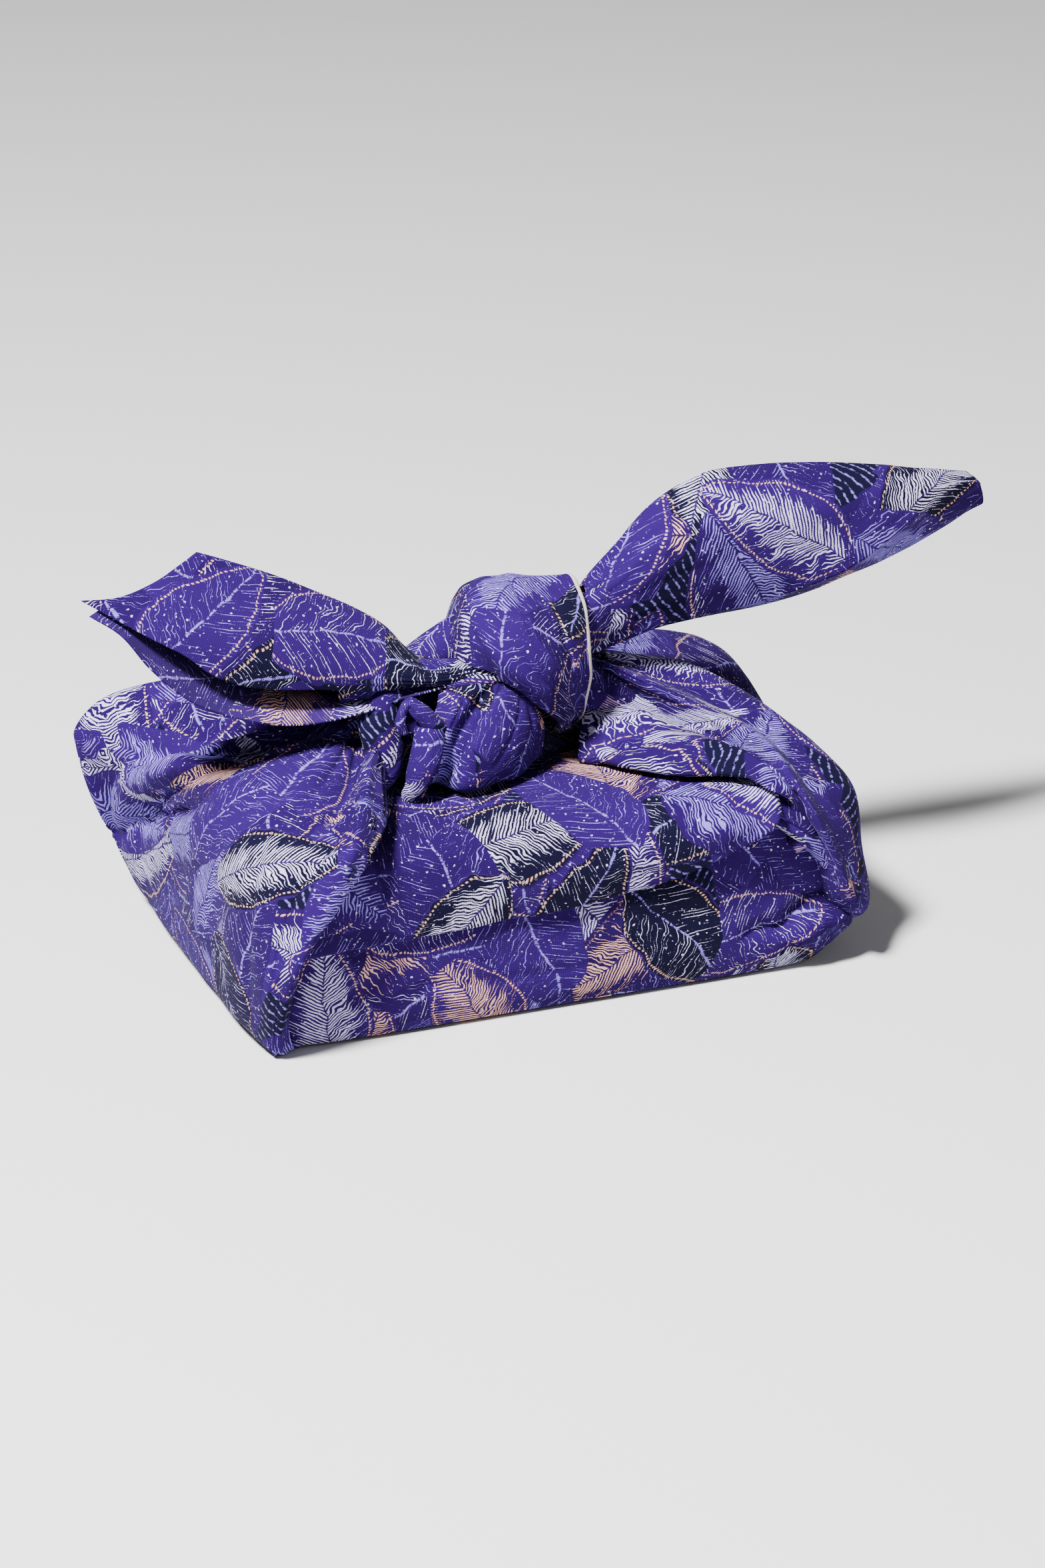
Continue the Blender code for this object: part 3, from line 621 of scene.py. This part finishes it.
LEFT_EAR_FOLDS = (
    # fold, sharpness, foot, corner, waist, wall, brow, top, rise, neck
    ("lip", 0, (-72, -51, 1.5), (-73.5, -55, 12.5), (-70, -58.5, 30), (-60, -58.5, 43),
     (-55, -58.5, 52), (-46.5, -47, 54.5), (-40, -30, 58), (-33, -13, 60)),
    ("roll", 0.1, (-74.5, -52.5, 1.2), (-76.5, -58, 13), (-72.5, -62, 30), (-64, -62.5, 45),
     (-58.5, -60.5, 55), (-50, -44.5, 60), (-43.5, -31, 63.5), (-36, -13, 66)),
    ("valley", 0.8, (-77, -51, 1.5), (-79, -55, 13), (-78.5, -57, 30), (-72, -56.5, 46.5),
     (-66.5, -51, 52.5), (-56, -38.5, 54.5), (-47.3, -27, 57.5), (-40, -12, 63)),
    ("panel", 0, (-79, -42, 2.5), (-80.6, -46, 14), (-80.5, -47, 30), (-77, -44, 46.5), (-70, -36, 56),
     (-60, -28, 61), (-51, -19, 63), (-41, -9, 66.5)),
    ("ridge", 0, (-79.5, -12, 2.5), (-81.5, -14, 14), (-82, -16, 30), (-81, -20, 47), (-75, -17, 56.5),
     (-62, -13, 61), (-50, -9, 64.5), (-41, -5, 69)),
    ("crease", 0.8, (-79, 30, 2.5), (-81.5, 36, 14), (-82.5, 36, 29), (-81.5, 14, 46), (-77, 5, 52),
     (-62, 1.5, 54.5), (-49, -2, 59), (-40, -1.5, 63)),
    ("second", 0, (-78, 40, 2.5), (-84, 45, 14), (-86.5, 43, 29), (-85, 24, 47), (-79, 13, 55.5),
     (-65, 8, 59.5), (-52, 4, 63), (-42, 4, 67)),
    ("hollow", 0.7, (-77.5, 45, 2.5), (-83, 50, 14), (-86, 48, 31), (-84.5, 34, 46), (-77, 24, 51.2),
     (-66, 16, 53.5), (-54, 9, 57), (-42, 9, 61)),
    ("bulge", 0, (-75.5, 49, 2.5), (-84, 52, 16), (-91, 49, 32), (-95, 47, 47), (-95.5, 46, 51),
     (-89.5, 44.5, 58.5), (-74, 38, 64.5), (-58, 28, 66), (-43, 16, 68)),
    ("behind", 0, (-70, 50.5, 2), (-75, 56, 16), (-78, 57, 30), (-76, 55.5, 46), (-70, 50, 56),
     (-57, 38, 58.5), (-46, 28, 61), (-36, 17, 65)),
    ("back", 0, (-56, 51, 1.5), (-57, 55.5, 15), (-58, 57, 28), (-56.5, 56, 44), (-52, 51, 54),
     (-43, 37, 57.5), (-35, 26, 61), (-27, 14, 68)),
    ("backlip", 0, (-44, 51, 2.5), (-44.5, 53.5, 16), (-45, 54, 28), (-43.5, 53.5, 43), (-40, 48, 51),
     (-34, 34, 54), (-27, 23, 58), (-20, 11, 65)),
)
RIGHT_EAR_FOLDS = (
    # fold, sharpness, foot, waist, brow, top, middle, rise, neck
    ("lip", 0, (56.5, -56.5, 46), (55.5, -58, 48.5), (51, -57.5, 51.8), (46, -51, 54.4),
     (31.5, -41, 54.6), (21, -30.5, 54.4), (14, -21, 54)),
    ("panel", 0.3, (60.5, -56.5, 42.5), (58.5, -59, 47), (53, -58.5, 53.5), (47.5, -49, 59),
     (34, -34, 60), (26, -23, 60.5), (20, -11, 62)),
    ("pinch", 0.9, (62.5, -55.5, 39.5), (60.5, -56, 45), (56.5, -54, 50.5), (52, -41, 54.5),
     (42.5, -20.5, 57.5), (34.5, -11, 62.5), (26, -6, 68)),
    ("crest", 0.2, (74.5, -57, 16.5), (67.5, -60, 32), (58.5, -60, 49.5), (55.5, -44.5, 58.5),
     (46, -26, 62.5), (35.5, -15.5, 67), (25.5, -9, 72.5)),
    ("crease", 0.85, (78.5, -53.5, 14.5), (71.5, -56, 30), (64.5, -54, 46), (62, -33, 53.5),
     (52.5, -12.5, 60), (42, -7.5, 65), (29, -3, 70.5)),
    ("band", 0.15, (80.8, -49, 12), (79.4, -48, 30), (77.8, -45.5, 44.5), (72.5, -35, 52),
     (65.5, -17, 58), (50, -6, 66.5), (29, -2.5, 72)),
    ("edge", 0, (79, -32, 5), (80.5, -30, 30), (78.5, -20, 44.5), (74, -8, 49.5), (66, 2, 55),
     (52, 4, 63), (29, 1, 70)),
    ("dip", 0.4, (77.5, -8, 2.5), (81, -4, 30), (78.5, 2, 46), (73, 8, 51), (64, 12, 55.5),
     (50, 11, 61.5), (30, 4, 67.5)),
    ("fourth", 0, (77.5, 26, 2.5), (81.5, 28, 30), (80, 30, 48.5), (74, 30, 57), (62, 28, 62.5),
     (46, 19, 67.5), (30, 8, 71)),
    ("corner", 0, (73.5, 48.5, 2), (79, 54, 28), (75.5, 52.5, 49), (66, 46, 55), (52, 38, 59),
     (40, 26, 63), (28, 13, 68)),
    ("back", 0, (56, 51, 1.5), (58, 56, 28), (55, 54.5, 47), (49, 48, 54), (42, 37, 57.5),
     (33, 25, 61), (24, 13, 68)),
    ("backlip", 0, (42, 51, 2.5), (43, 54, 28), (41, 52, 45), (37, 46, 51.5), (32, 34, 54),
     (26, 23, 58), (19, 11, 65)),
)


def tucked(folds):
    """The folds with a first point added to each, where its foot goes in under the parcel."""
    longer = []
    for name, sharpness, foot, *others in folds:
        hidden = (min(max(foot[0], -68.0), 70.0), min(max(foot[1], -47.0), 46.0),
                  max(0.4, foot[2] - 3.0))
        longer.append((name, sharpness, hidden, foot, *others))
    return longer


# Creases over the folds of the left ear: half width, depth, points
LEFT_EAR_CREASES = (
    (2.8, 4.5, (-85, 30, 49), (-72, 8.5, 57), (-60, -1, 59), (-52, -10, 62)),
    (2.8, -2.6, (-85, 24, 46), (-76, 4, 55), (-64, -8, 60), (-54, -15, 63.5)),
    (1.8, 3.4, (-86, 38, 28), (-82, 12, 46), (-70, -3, 56), (-58, -15, 62)),
    (2.2, 3.6, (-88, 53, 17), (-83, 36, 28), (-81.5, 6, 43), (-77, -12, 52)),
    (2.0, 2.4, (-48, -32, 60), (-61, -53, 55), (-68, -56, 50), (-74, -57, 42), (-77, -57, 32),
     (-78, -56, 20)),
    (1.8, -1.2, (-44, -26, 60), (-47, -46, 56), (-57.5, -60, 49), (-66.5, -62, 39),
     (-74.5, -61.5, 26), (-75.5, -59, 14)),
    (2.4, 1.0, (-80, -44, 40), (-80, -45, 25), (-79, -44, 8)),
)


def ear_skin(folds, creases, pleat_depth, lip_radius, seed):
    """The grid of an ear, pleated towards the knot, with a soft lip along its first fold."""
    grid = crease(skin(tucked(folds)), creases)
    grid = gathers(grid, pleats=26.0, depth=pleat_depth, start=0.62, seed=seed)
    grid = rumple(grid, size=12.0, depth=0.9, stretch=(1.0, 2.5), seed=seed)
    return turned_edge(grid, "first row", lip_radius, reach=5.0)


left_skin = ear_skin(LEFT_EAR_FOLDS, LEFT_EAR_CREASES, pleat_depth=1.3, lip_radius=0.8, seed=2.0)
left_ear = cloth("left_ear", left_skin, spot=(20.0, 260.0))
right_skin = ear_skin(RIGHT_EAR_FOLDS, (), pleat_depth=1.2, lip_radius=1.3, seed=3.0)
right_ear = cloth("right_ear", right_skin, spot=(420.0, 240.0))

# ------------------------------------------------------------------ the knot
# The two gathered corners crossed and tied twice: a broad band over the top, a creased lobe
# below it, and the smaller turns, pleats and necks round them, all of the same cotton.

# The band from its left edge to its rim: fold, sharpness, from behind, over the top and down
BAND_FOLDS = (
    ("left edge", 0, (-4, 15, 72), (-9, 10, 79), (-13.5, -1, 83.5), (-15, -12, 81), (-13, -18.5, 80),
     (-9, -22.5, 79), (-7.5, -25, 77), (-3.5, -26.5, 74.5), (0.5, -26, 70.5), (5, -24.5, 67),
     (10, -20, 61.5), (11.5, -13, 57)),
    ("left", 0, (-2, 17, 72), (-4.5, 14, 83), (-7, 5, 91.5), (-9, -7, 95), (-11.5, -16, 93),
     (-11.7, -22, 89), (-10, -26, 85.5), (-7, -28.5, 82), (-3, -29.7, 78.5), (2, -29.2, 74),
     (7, -26, 68.5), (11.5, -21, 62.5), (12.5, -14, 57)),
    ("middle", 0, (4, 18, 72), (3.5, 16, 84), (3, 6, 93), (2, -4, 96.3), (-1, -16, 95), (-2, -24, 92),
     (-1, -27.8, 87.5), (1.5, -29.5, 82.5), (5, -28.7, 77), (8.5, -26, 71), (12.5, -21, 64),
     (13.5, -14, 57)),
    ("right", 0, (10, 17, 72), (10.5, 15, 84), (10.5, 6, 91.8), (10.5, -4, 94.3), (9.5, -15, 93.5),
     (9.5, -22, 90), (9.5, -25.2, 85), (10.5, -26, 80), (11.5, -25.3, 74.5), (13, -22.3, 68.5),
     (15, -17.5, 62.5), (15, -12, 57)),
    ("rim", 0, (16, 14, 72), (17.5, 12, 82), (18.5, 4, 90.5), (18.3, -5, 95), (17.6, -12, 93.6),
     (17, -18, 90.5), (16.5, -21.3, 85), (16.5, -22.5, 79), (17, -22, 73.5), (17, -19.5, 67.5),
     (17.5, -15.5, 61.5), (16.5, -11, 57)),
)
# The lobe from left to right: fold, sharpness, from the top down and under
LOBE_FOLDS = (
    ("left edge", 0, (-20, -13, 76), (-21.5, -18, 75), (-23, -21, 72), (-24.5, -22, 69),
     (-26, -22.5, 65), (-28.5, -23.5, 60), (-30, -24, 55), (-29, -19, 50.5)),
    ("left", 0, (-13, -15, 77.5), (-13.5, -20, 76.5), (-17, -24, 74.5), (-20.5, -26, 71),
     (-23, -27, 66), (-24.5, -27.7, 61), (-26, -27, 55.5), (-26.5, -20, 50.5)),
    ("crease", 1, (-6, -16, 78.5), (-7, -21, 76.8), (-12, -23.5, 73), (-17, -25, 68), (-20.5, -26, 63),
     (-22.5, -26.2, 59), (-24, -25.5, 54), (-23.5, -19, 50.5)),
    ("swell", 0, (-5, -17, 78), (-6, -23.5, 75.8), (-10, -28, 73.5), (-14, -30.2, 69),
     (-17.5, -31.5, 64), (-19, -31.8, 59), (-20.5, -31, 53), (-19, -22, 50.3)),
    ("middle", 0, (-3, -17, 77), (-3.5, -22.5, 75), (-5, -27, 72), (-7, -30, 68), (-9, -31.5, 63.5),
     (-10.3, -31.7, 59), (-10.7, -30, 53), (-9.5, -21, 50.6)),
    ("right", 0, (-1, -16, 75), (-0.5, -22, 73), (-0.8, -25.5, 69.5), (-1, -27.3, 66),
     (-1.5, -28, 62.5), (-2.3, -28, 58.5), (-3, -26.5, 53), (-3.5, -19, 51)),
    ("edge", 0, (2, -14, 73), (2.5, -18.5, 70), (3.5, -21.5, 67), (4.2, -22.8, 63.5), (4, -23.3, 60.5),
     (3.3, -23.5, 57.5), (1.8, -22, 54), (0, -15, 52.5)),
)
# Smaller turns: rows of x, y, z, half width, half thickness, turn in degrees
KNOT_FOLDS = {
    "core": ((3.6, 15, 70, 6, 6, 0), (3.8, 9, 71, 14, 12, 0), (3, -5, 72, 17, 14, 0),
             (2, -15, 70, 12, 9, 0), (1, -19, 67, 5, 4, 0)),
    "cone": ((-26, -22, 69, 2.4, 2.2, 0), (-26.8, -25.5, 66.5, 3.6, 3, 0),
             (-28.2, -27.5, 62.5, 3.9, 3.2, 0), (-30, -28.3, 58, 3.5, 3, 0),
             (-31.2, -27.3, 53.5, 2.9, 2.6, 0), (-32, -25, 50.5, 2.2, 2.2, 0)),
    "curl": ((-21, -23, 65.5, 2.4, 2, 0), (-25.8, -25.3, 69.2, 3.2, 2.2, 0),
             (-29, -25, 72.6, 2.6, 2, 0), (-31.2, -23.8, 74.6, 1.5, 1.6, 0),
             (-33.1, -24, 72.8, 1.1, 1.4, 0), (-33.8, -24.4, 70, 1.1, 1.4, 0),
             (-33.1, -24, 67, 0.8, 1.2, 0)),
    "pleat": ((-30, -14, 75, 3, 3, 0), (-35, -16.5, 72.5, 4.2, 4, 0), (-37.5, -19, 68, 5, 4.6, 0),
              (-37.2, -20.5, 63, 5.2, 4.6, 0), (-37.5, -20.5, 58, 5, 4.4, 0),
              (-39.5, -20, 53.5, 4.2, 4, 0), (-41, -19, 50.5, 3.4, 3, 0)),
    "loop": ((-27, 1, 71, 4, 4, 0), (-22, -1, 75, 5, 4.6, 0), (-16.5, -2, 78, 5.6, 5.4, 0),
             (-11, -3, 81, 6, 5.8, 0), (-5, -4, 84, 6, 5, 0)),
    "left neck": ((-46, -11, 77, 6, 4, 0), (-37, -12.5, 78, 5.5, 4.4, 0), (-28, -13.5, 77.5, 5, 3.6, 0),
                  (-19, -15, 77, 5, 2.6, 0), (-10, -17, 77.3, 5, 2.4, 0), (-2, -17, 77.5, 4, 2.4, 0)),
    "left root": ((-46, -6, 62, 5, 3, 0), (-38, -8, 64.5, 7.5, 4.5, 0), (-26, -9, 67, 9.5, 6.4, 0),
                  (-10, -9, 69, 10, 8, 0)),
    "right neck": ((8, -5, 74, 7, 6, 0), (18, -6, 79.5, 8, 6, 90), (25, -7, 84.5, 7.5, 4.6, 90),
                   (31, -7, 89, 7, 3, 90)),
    "right root": ((34, -5, 62, 9, 3, 0), (26, -6, 65, 9, 5, 0), (16, -5, 68, 10, 8, 0),
                   (6, -4, 70, 8, 8, 0)),
    "side curl": ((52, -50, 48, 3, 3, 0), (56, -54, 45.5, 3, 2.6, 0), (60, -55.5, 42, 2.6, 2.2, 0),
                  (61.5, -54.5, 38, 2.4, 2, 0), (58, -53, 34.5, 2, 2, 0)),
    "side fold": ((54, -50, 44, 3, 3, 0), (57, -53.5, 41, 3, 2.4, 0), (63, -54.5, 36, 2.6, 2.2, 0),
                  (68, -54, 29, 2, 2, 0)),
}


UP_AND_FORWARD = np.array((0.0, -0.35, 1.0))     # where a turn's flat side faces, unturned


def roll(sections, steps=72, sides=72):
    """A closed grid swept along sections (x, y, z, half width, half thickness, turn)."""
    table = np.asarray(sections, float)
    path = smooth_line(table[:, :3], steps)
    reach = np.concatenate([[0.0], np.cumsum(spans_of(table[:, :3], 0))])
    place = np.linspace(0.0, reach[-1], steps)
    widths, heights, turns = (np.interp(place, reach, table[:, part]) for part in (3, 4, 5))
    tangent = np.gradient(path, axis=0)
    tangent = tangent / np.linalg.norm(tangent, axis=1, keepdims=True)
    side = np.cross(tangent, UP_AND_FORWARD)
    side = side / np.linalg.norm(side, axis=1, keepdims=True)
    up = np.cross(side, tangent)
    turn = np.radians(turns)[:, None]
    side, up = side * np.cos(turn) + up * np.sin(turn), up * np.cos(turn) - side * np.sin(turn)
    angle = 2.0 * np.pi * np.arange(sides) / sides
    return (path[:, None] + side[:, None] * (widths[:, None] * np.cos(angle))[:, :, None]
            + up[:, None] * (heights[:, None] * np.sin(angle))[:, :, None])


def knot_piece(fold, grid, spot, closed, bare_from=None):
    """A turn of the knot as a sheet of cloth, named after its fold."""
    piece = cloth("knot_" + fold.replace(" ", "_"), grid, spot, closed=closed, bare_from=bare_from)


# Wrinkles pressed into the knot: half width, depth, points
LOBE_CREASES = (
    (1.4, 2.6, (-5.5, -20, 78), (-7, -22.5, 76.5), (-12, -25, 73), (-17, -27, 68), (-20.5, -28, 63),
     (-22.5, -28, 59), (-24, -27, 54)),
    (0.8, 0.6, (-2, -24, 74.5), (-4, -28, 70), (-8, -31, 64), (-13, -31.5, 57)),
    (0.8, 0.6, (-14, -21, 76), (-19, -25, 71.5), (-22.5, -27, 66)),
    (1.0, 0.7, (-1, -25, 71), (0, -27, 66), (-1, -28, 60)),
)
BAND_CREASES = (
    (1.0, 1.1, (9.5, -15, 94), (9, -22, 90), (9.5, -26, 84.5), (11.5, -26, 77)),
    (0.8, 0.7, (3, 2, 95), (1, -12, 96), (-1, -22, 92.5), (0, -28, 87)),
    (0.8, 0.6, (-4, -26, 86), (-1, -29, 80.5), (4, -28.5, 75), (9, -25, 68)),
    (0.9, 0.8, (14, -19, 86), (14.5, -22, 80), (14.5, -21, 73), (15.5, -17, 65)),
    (0.8, 0.6, (-11, -8, 92), (-12, -16, 90), (-11, -22, 86.5)),
)
NECK_CREASES = (
    (0.8, 0.8, (-40, -17, 82), (-30, -18, 79.5), (-20, -19, 78.5), (-10, -20, 78.5)),
    (0.8, 0.8, (-38, -14, 83), (-28, -16, 80.5), (-18, -17, 79.5), (-8, -19, 79.3)),
    (0.8, 0.8, (-40, -17, 76), (-30, -18, 75.5), (-20, -18, 76), (-8, -19, 77)),
)
band_skin = crease(skin(BAND_FOLDS, gap_rows=18), BAND_CREASES)
band_skin = turned_edge(band_skin, "first row", radius=0.8, reach=4.0)
rim_row = len(band_skin) - 2        # from here on the band is its bare, unprinted edge
band_skin = turned_edge(band_skin, "last row", radius=0.9, reach=5.0)
band_skin = rumple(band_skin, size=7.0, depth=0.6, stretch=(1.0, 2.5), seed=11.0)
knot_piece("band", band_skin, spot=(160.0, 400.0), closed=False, bare_from=rim_row)
lobe_skin = crease(skin(LOBE_FOLDS, gap_rows=20, columns=124), LOBE_CREASES)
lobe_skin = turned_edge(lobe_skin, "last row", radius=0.8, reach=4.0)
lobe_skin = rumple(lobe_skin, size=7.0, depth=0.6, stretch=(1.0, 2.5), seed=12.0)
knot_piece("lobe", lobe_skin, spot=(330.0, 300.0), closed=False)
for number, (fold, sections) in enumerate(KNOT_FOLDS.items()):
    turn_skin = roll(sections)
    if fold == "left neck":
        turn_skin = crease(turn_skin, NECK_CREASES, closed=True)
    turn_skin = rumple(turn_skin, size=5.0, depth=0.8, stretch=(3.0, 0.8), seed=20.0 + number,
                       closed=True)
    knot_piece(fold, turn_skin, spot=(200.0 + 23.0 * number, 380.0), closed=True)

# ------------------------------------------------------------------ the tails
# The free ends of the two tied corners, with raw cut edges. The left one is folded
# lengthwise and opens to the front, the right one is broad and turns under at a crest.

LEFT_TAIL_FOLDS = (
    # fold, sharpness, neck ... end
    ("upper lip", 0, (-9, -18, 76.5), (-17.5, -18.5, 76), (-29, -19, 76.5), (-42, -19.5, 77.5),
     (-52.5, -19.5, 79.5), (-63.5, -19.5, 81), (-71.5, -19.5, 83), (-79, -19, 86.5), (-85.5, -18, 92),
     (-93.5, -16, 97), (-108, -9, 106)),
    ("low face", 0, (-9, -19, 77.5), (-17.5, -19.5, 77.3), (-26, -20, 78), (-36.5, -20, 80),
     (-47, -20, 83), (-58, -20, 86.5), (-69.5, -19, 91), (-80.5, -17, 96), (-91, -14, 101.5),
     (-99, -10, 106)),
    ("brow", 0, (-9, -18, 78.8), (-17.5, -18, 78.5), (-24.5, -18, 79.2), (-30, -17, 82),
     (-36.5, -16, 86.5), (-45.5, -15, 91.5), (-57, -14, 96.5), (-68.5, -13, 100.5), (-79, -11, 104.5),
     (-88.5, -8, 108.5)),
    ("ridge", 0.2, (-9, -14, 79.5), (-17, -13, 79), (-22.5, -12, 79.5), (-27, -9, 83.5),
     (-32, -8, 89.5), (-40, -7, 95), (-47.5, -6, 99), (-58, -6, 104.5), (-68.5, -5, 109),
     (-78, -5, 113)),
    ("back", 0, (-9, -8, 78), (-20, -4, 77), (-32, 2, 82), (-44, 4, 86), (-57, 4.5, 91), (-68, 3, 96),
     (-77, 1, 101.5), (-84, -1, 107)),
    ("keel", 0.2, (-9, -9, 75.5), (-20, -5, 75), (-34, 0, 74), (-48, 1, 76), (-62, 1, 79), (-75, 0, 85),
     (-86, -3, 94), (-96, -6, 104)),
    ("inner", 0, (-9, -15, 75), (-20, -14, 74.5), (-33, -13, 73.5), (-47, -12, 74.5),
     (-61, -11.5, 76.5), (-74, -11, 81.5), (-86, -11, 90), (-102, -9, 104)),
    ("low lip", 0, (-9, -19, 75.5), (-17.5, -19.5, 75.3), (-29, -20.5, 74.6), (-42.5, -21, 72.5),
     (-53.5, -21, 71.5), (-64, -21, 72.5), (-74.5, -20, 75.5), (-84.5, -19, 80.5), (-94, -17, 89.5),
     (-100.5, -14, 98), (-106.3, -9.5, 101.9)),
)
RIGHT_TAIL_FOLDS = (
    # fold, sharpness, neck ... end
    ("back", 0, (22, 0, 84), (34, 2, 94), (48, 3, 101), (66, 3, 104), (86, 3, 104), (106, 2, 103.5),
     (124, 1, 103)),
    ("top", 0.2, (22, -4, 91.5), (28, -4, 98.5), (36.5, -4, 107), (42.5, -4, 111.5), (50, -4, 115),
     (57, -4, 117), (69, -4, 117), (85, -4, 115.7), (104.5, -4, 112.7), (127.5, -5, 108.5)),
    ("face", 0, (22, -9, 88.5), (28, -12, 93.5), (36.5, -14, 101), (48.5, -15, 106), (64, -15, 107.7),
     (80, -15, 108), (100, -13, 109.3), (114, -9.5, 110.5), (128, -6.5, 108)),
    ("low face", 0, (22, -9, 82.5), (29, -12, 85.5), (38.5, -14, 91), (50, -15, 94), (64.5, -15.5, 96),
     (80, -15.5, 98.5), (97, -15, 102.5), (112, -12.5, 107.5), (129, -7.5, 107.2)),
    ("crest", 0.9, (23, -8, 75.5), (31, -10, 78.7), (40, -11, 81), (51.5, -12, 82.3), (66.5, -13, 83.6),
     (80, -15, 87), (93, -15.5, 92), (110, -14, 102.5), (119, -11.5, 107.5), (130, -8, 106)),
    ("under", 0, (24.5, -5, 73.8), (34.5, -5, 76.5), (43, -6, 78.6), (54, -5, 79.5), (70.5, -2, 79.8),
     (85.5, 0, 81.6), (102, 0, 85.4), (121, -2, 92.8), (132, -6, 99.6)),
    ("return", 0, (22, -2, 76), (34, 1, 80), (48, 3, 84), (64, 3, 87), (86, 3, 89.5), (108, 2, 94),
     (128, -1, 98.5)),
)


def tail_skin(folds, pleats, depth, seed):
    """The grid of a tail, pleated towards its neck, which is its first column."""
    grid = gathers(skin(folds)[:, ::-1], pleats, depth, start=0.6, seed=seed)[:, ::-1]
    return rumple(grid, size=12.0, depth=0.7, stretch=(1.0, 2.0), seed=seed)


left_skin = tail_skin(LEFT_TAIL_FOLDS, pleats=16.0, depth=0.8, seed=5.0)
left_tail = cloth("left_tail", left_skin, spot=(120.0, 430.0))
right_skin = tail_skin(RIGHT_TAIL_FOLDS, pleats=14.0, depth=1.0, seed=6.0)
right_tail = cloth("right_tail", right_skin, spot=(380.0, 60.0))

# ------------------------------------------------------------------ the studio
# A plain pale floor, a large soft light from the upper left, a weaker one from the right,
# and the camera a little above the table, in front and to the left.

floor_mesh = bpy.data.meshes.new("floor")
FLOOR_REACH = 4.0           # m, from the middle to each side
floor_corners = [(FLOOR_REACH * x, FLOOR_REACH * y, 0.0)
                 for x, y in ((-1, -1), (1, -1), (1, 1), (-1, 1))]
floor_mesh.from_pydata(floor_corners, [], [(0, 1, 2, 3)])
floor = bpy.data.objects.new("floor", floor_mesh)
bpy.context.scene.collection.objects.link(floor)
pale = bpy.data.materials.new("pale floor")
pale.use_nodes = True
pale.node_tree.nodes["Principled BSDF"].inputs["Base Color"].default_value = (0.58, 0.58, 0.58, 1.0)
pale.node_tree.nodes["Principled BSDF"].inputs["Roughness"].default_value = 0.9
floor.data.materials.append(pale)

world = bpy.data.worlds.new("studio")
world.use_nodes = True
world.node_tree.nodes["Background"].inputs["Color"].default_value = (1.0, 1.0, 1.0, 1.0)
world.node_tree.nodes["Background"].inputs["Strength"].default_value = 0.18
bpy.context.scene.world = world


def aimed(thing, place, target):
    """Put a light or the camera somewhere and point it at a target."""
    thing.location = place
    thing.rotation_euler = (Vector(target) - Vector(place)).to_track_quat("-Z", "Y").to_euler()
    bpy.context.scene.collection.objects.link(thing)


LIGHTS = (
    # name, power in W, size and place in m
    ("key", 142.0, 0.26, (-0.78, -0.50, 1.38)),
    ("fill", 4.0, 1.2, (0.7, -1.1, 0.6)),
)
for name, power, size, place in LIGHTS:
    lamp = bpy.data.lights.new(name, "AREA")
    lamp.energy, lamp.size = power, size
    aimed(bpy.data.objects.new(name, lamp), place, (0.0, 0.0, 0.05))

# The camera: its angles round and above the wrap, its distance in m, and its focal length
# and the frame's height in pixels
AZIMUTH, ELEVATION, DISTANCE = math.radians(21.8), math.radians(22.0), 1.1
FOCAL_LENGTH, FRAME_HEIGHT = 6560.0, 2352.0
SENSOR_HEIGHT = 36.0        # mm
target = Vector((0.0065, -0.003, 0.040))
back = Vector((-math.sin(AZIMUTH) * math.cos(ELEVATION), -math.cos(AZIMUTH) * math.cos(ELEVATION),
               math.sin(ELEVATION)))
lens = bpy.data.cameras.new("camera")
lens.sensor_fit, lens.sensor_height = "VERTICAL", SENSOR_HEIGHT
lens.lens = SENSOR_HEIGHT * FOCAL_LENGTH / FRAME_HEIGHT
camera = bpy.data.objects.new("camera", lens)
aimed(camera, target + back * DISTANCE, target)
bpy.context.scene.camera = camera
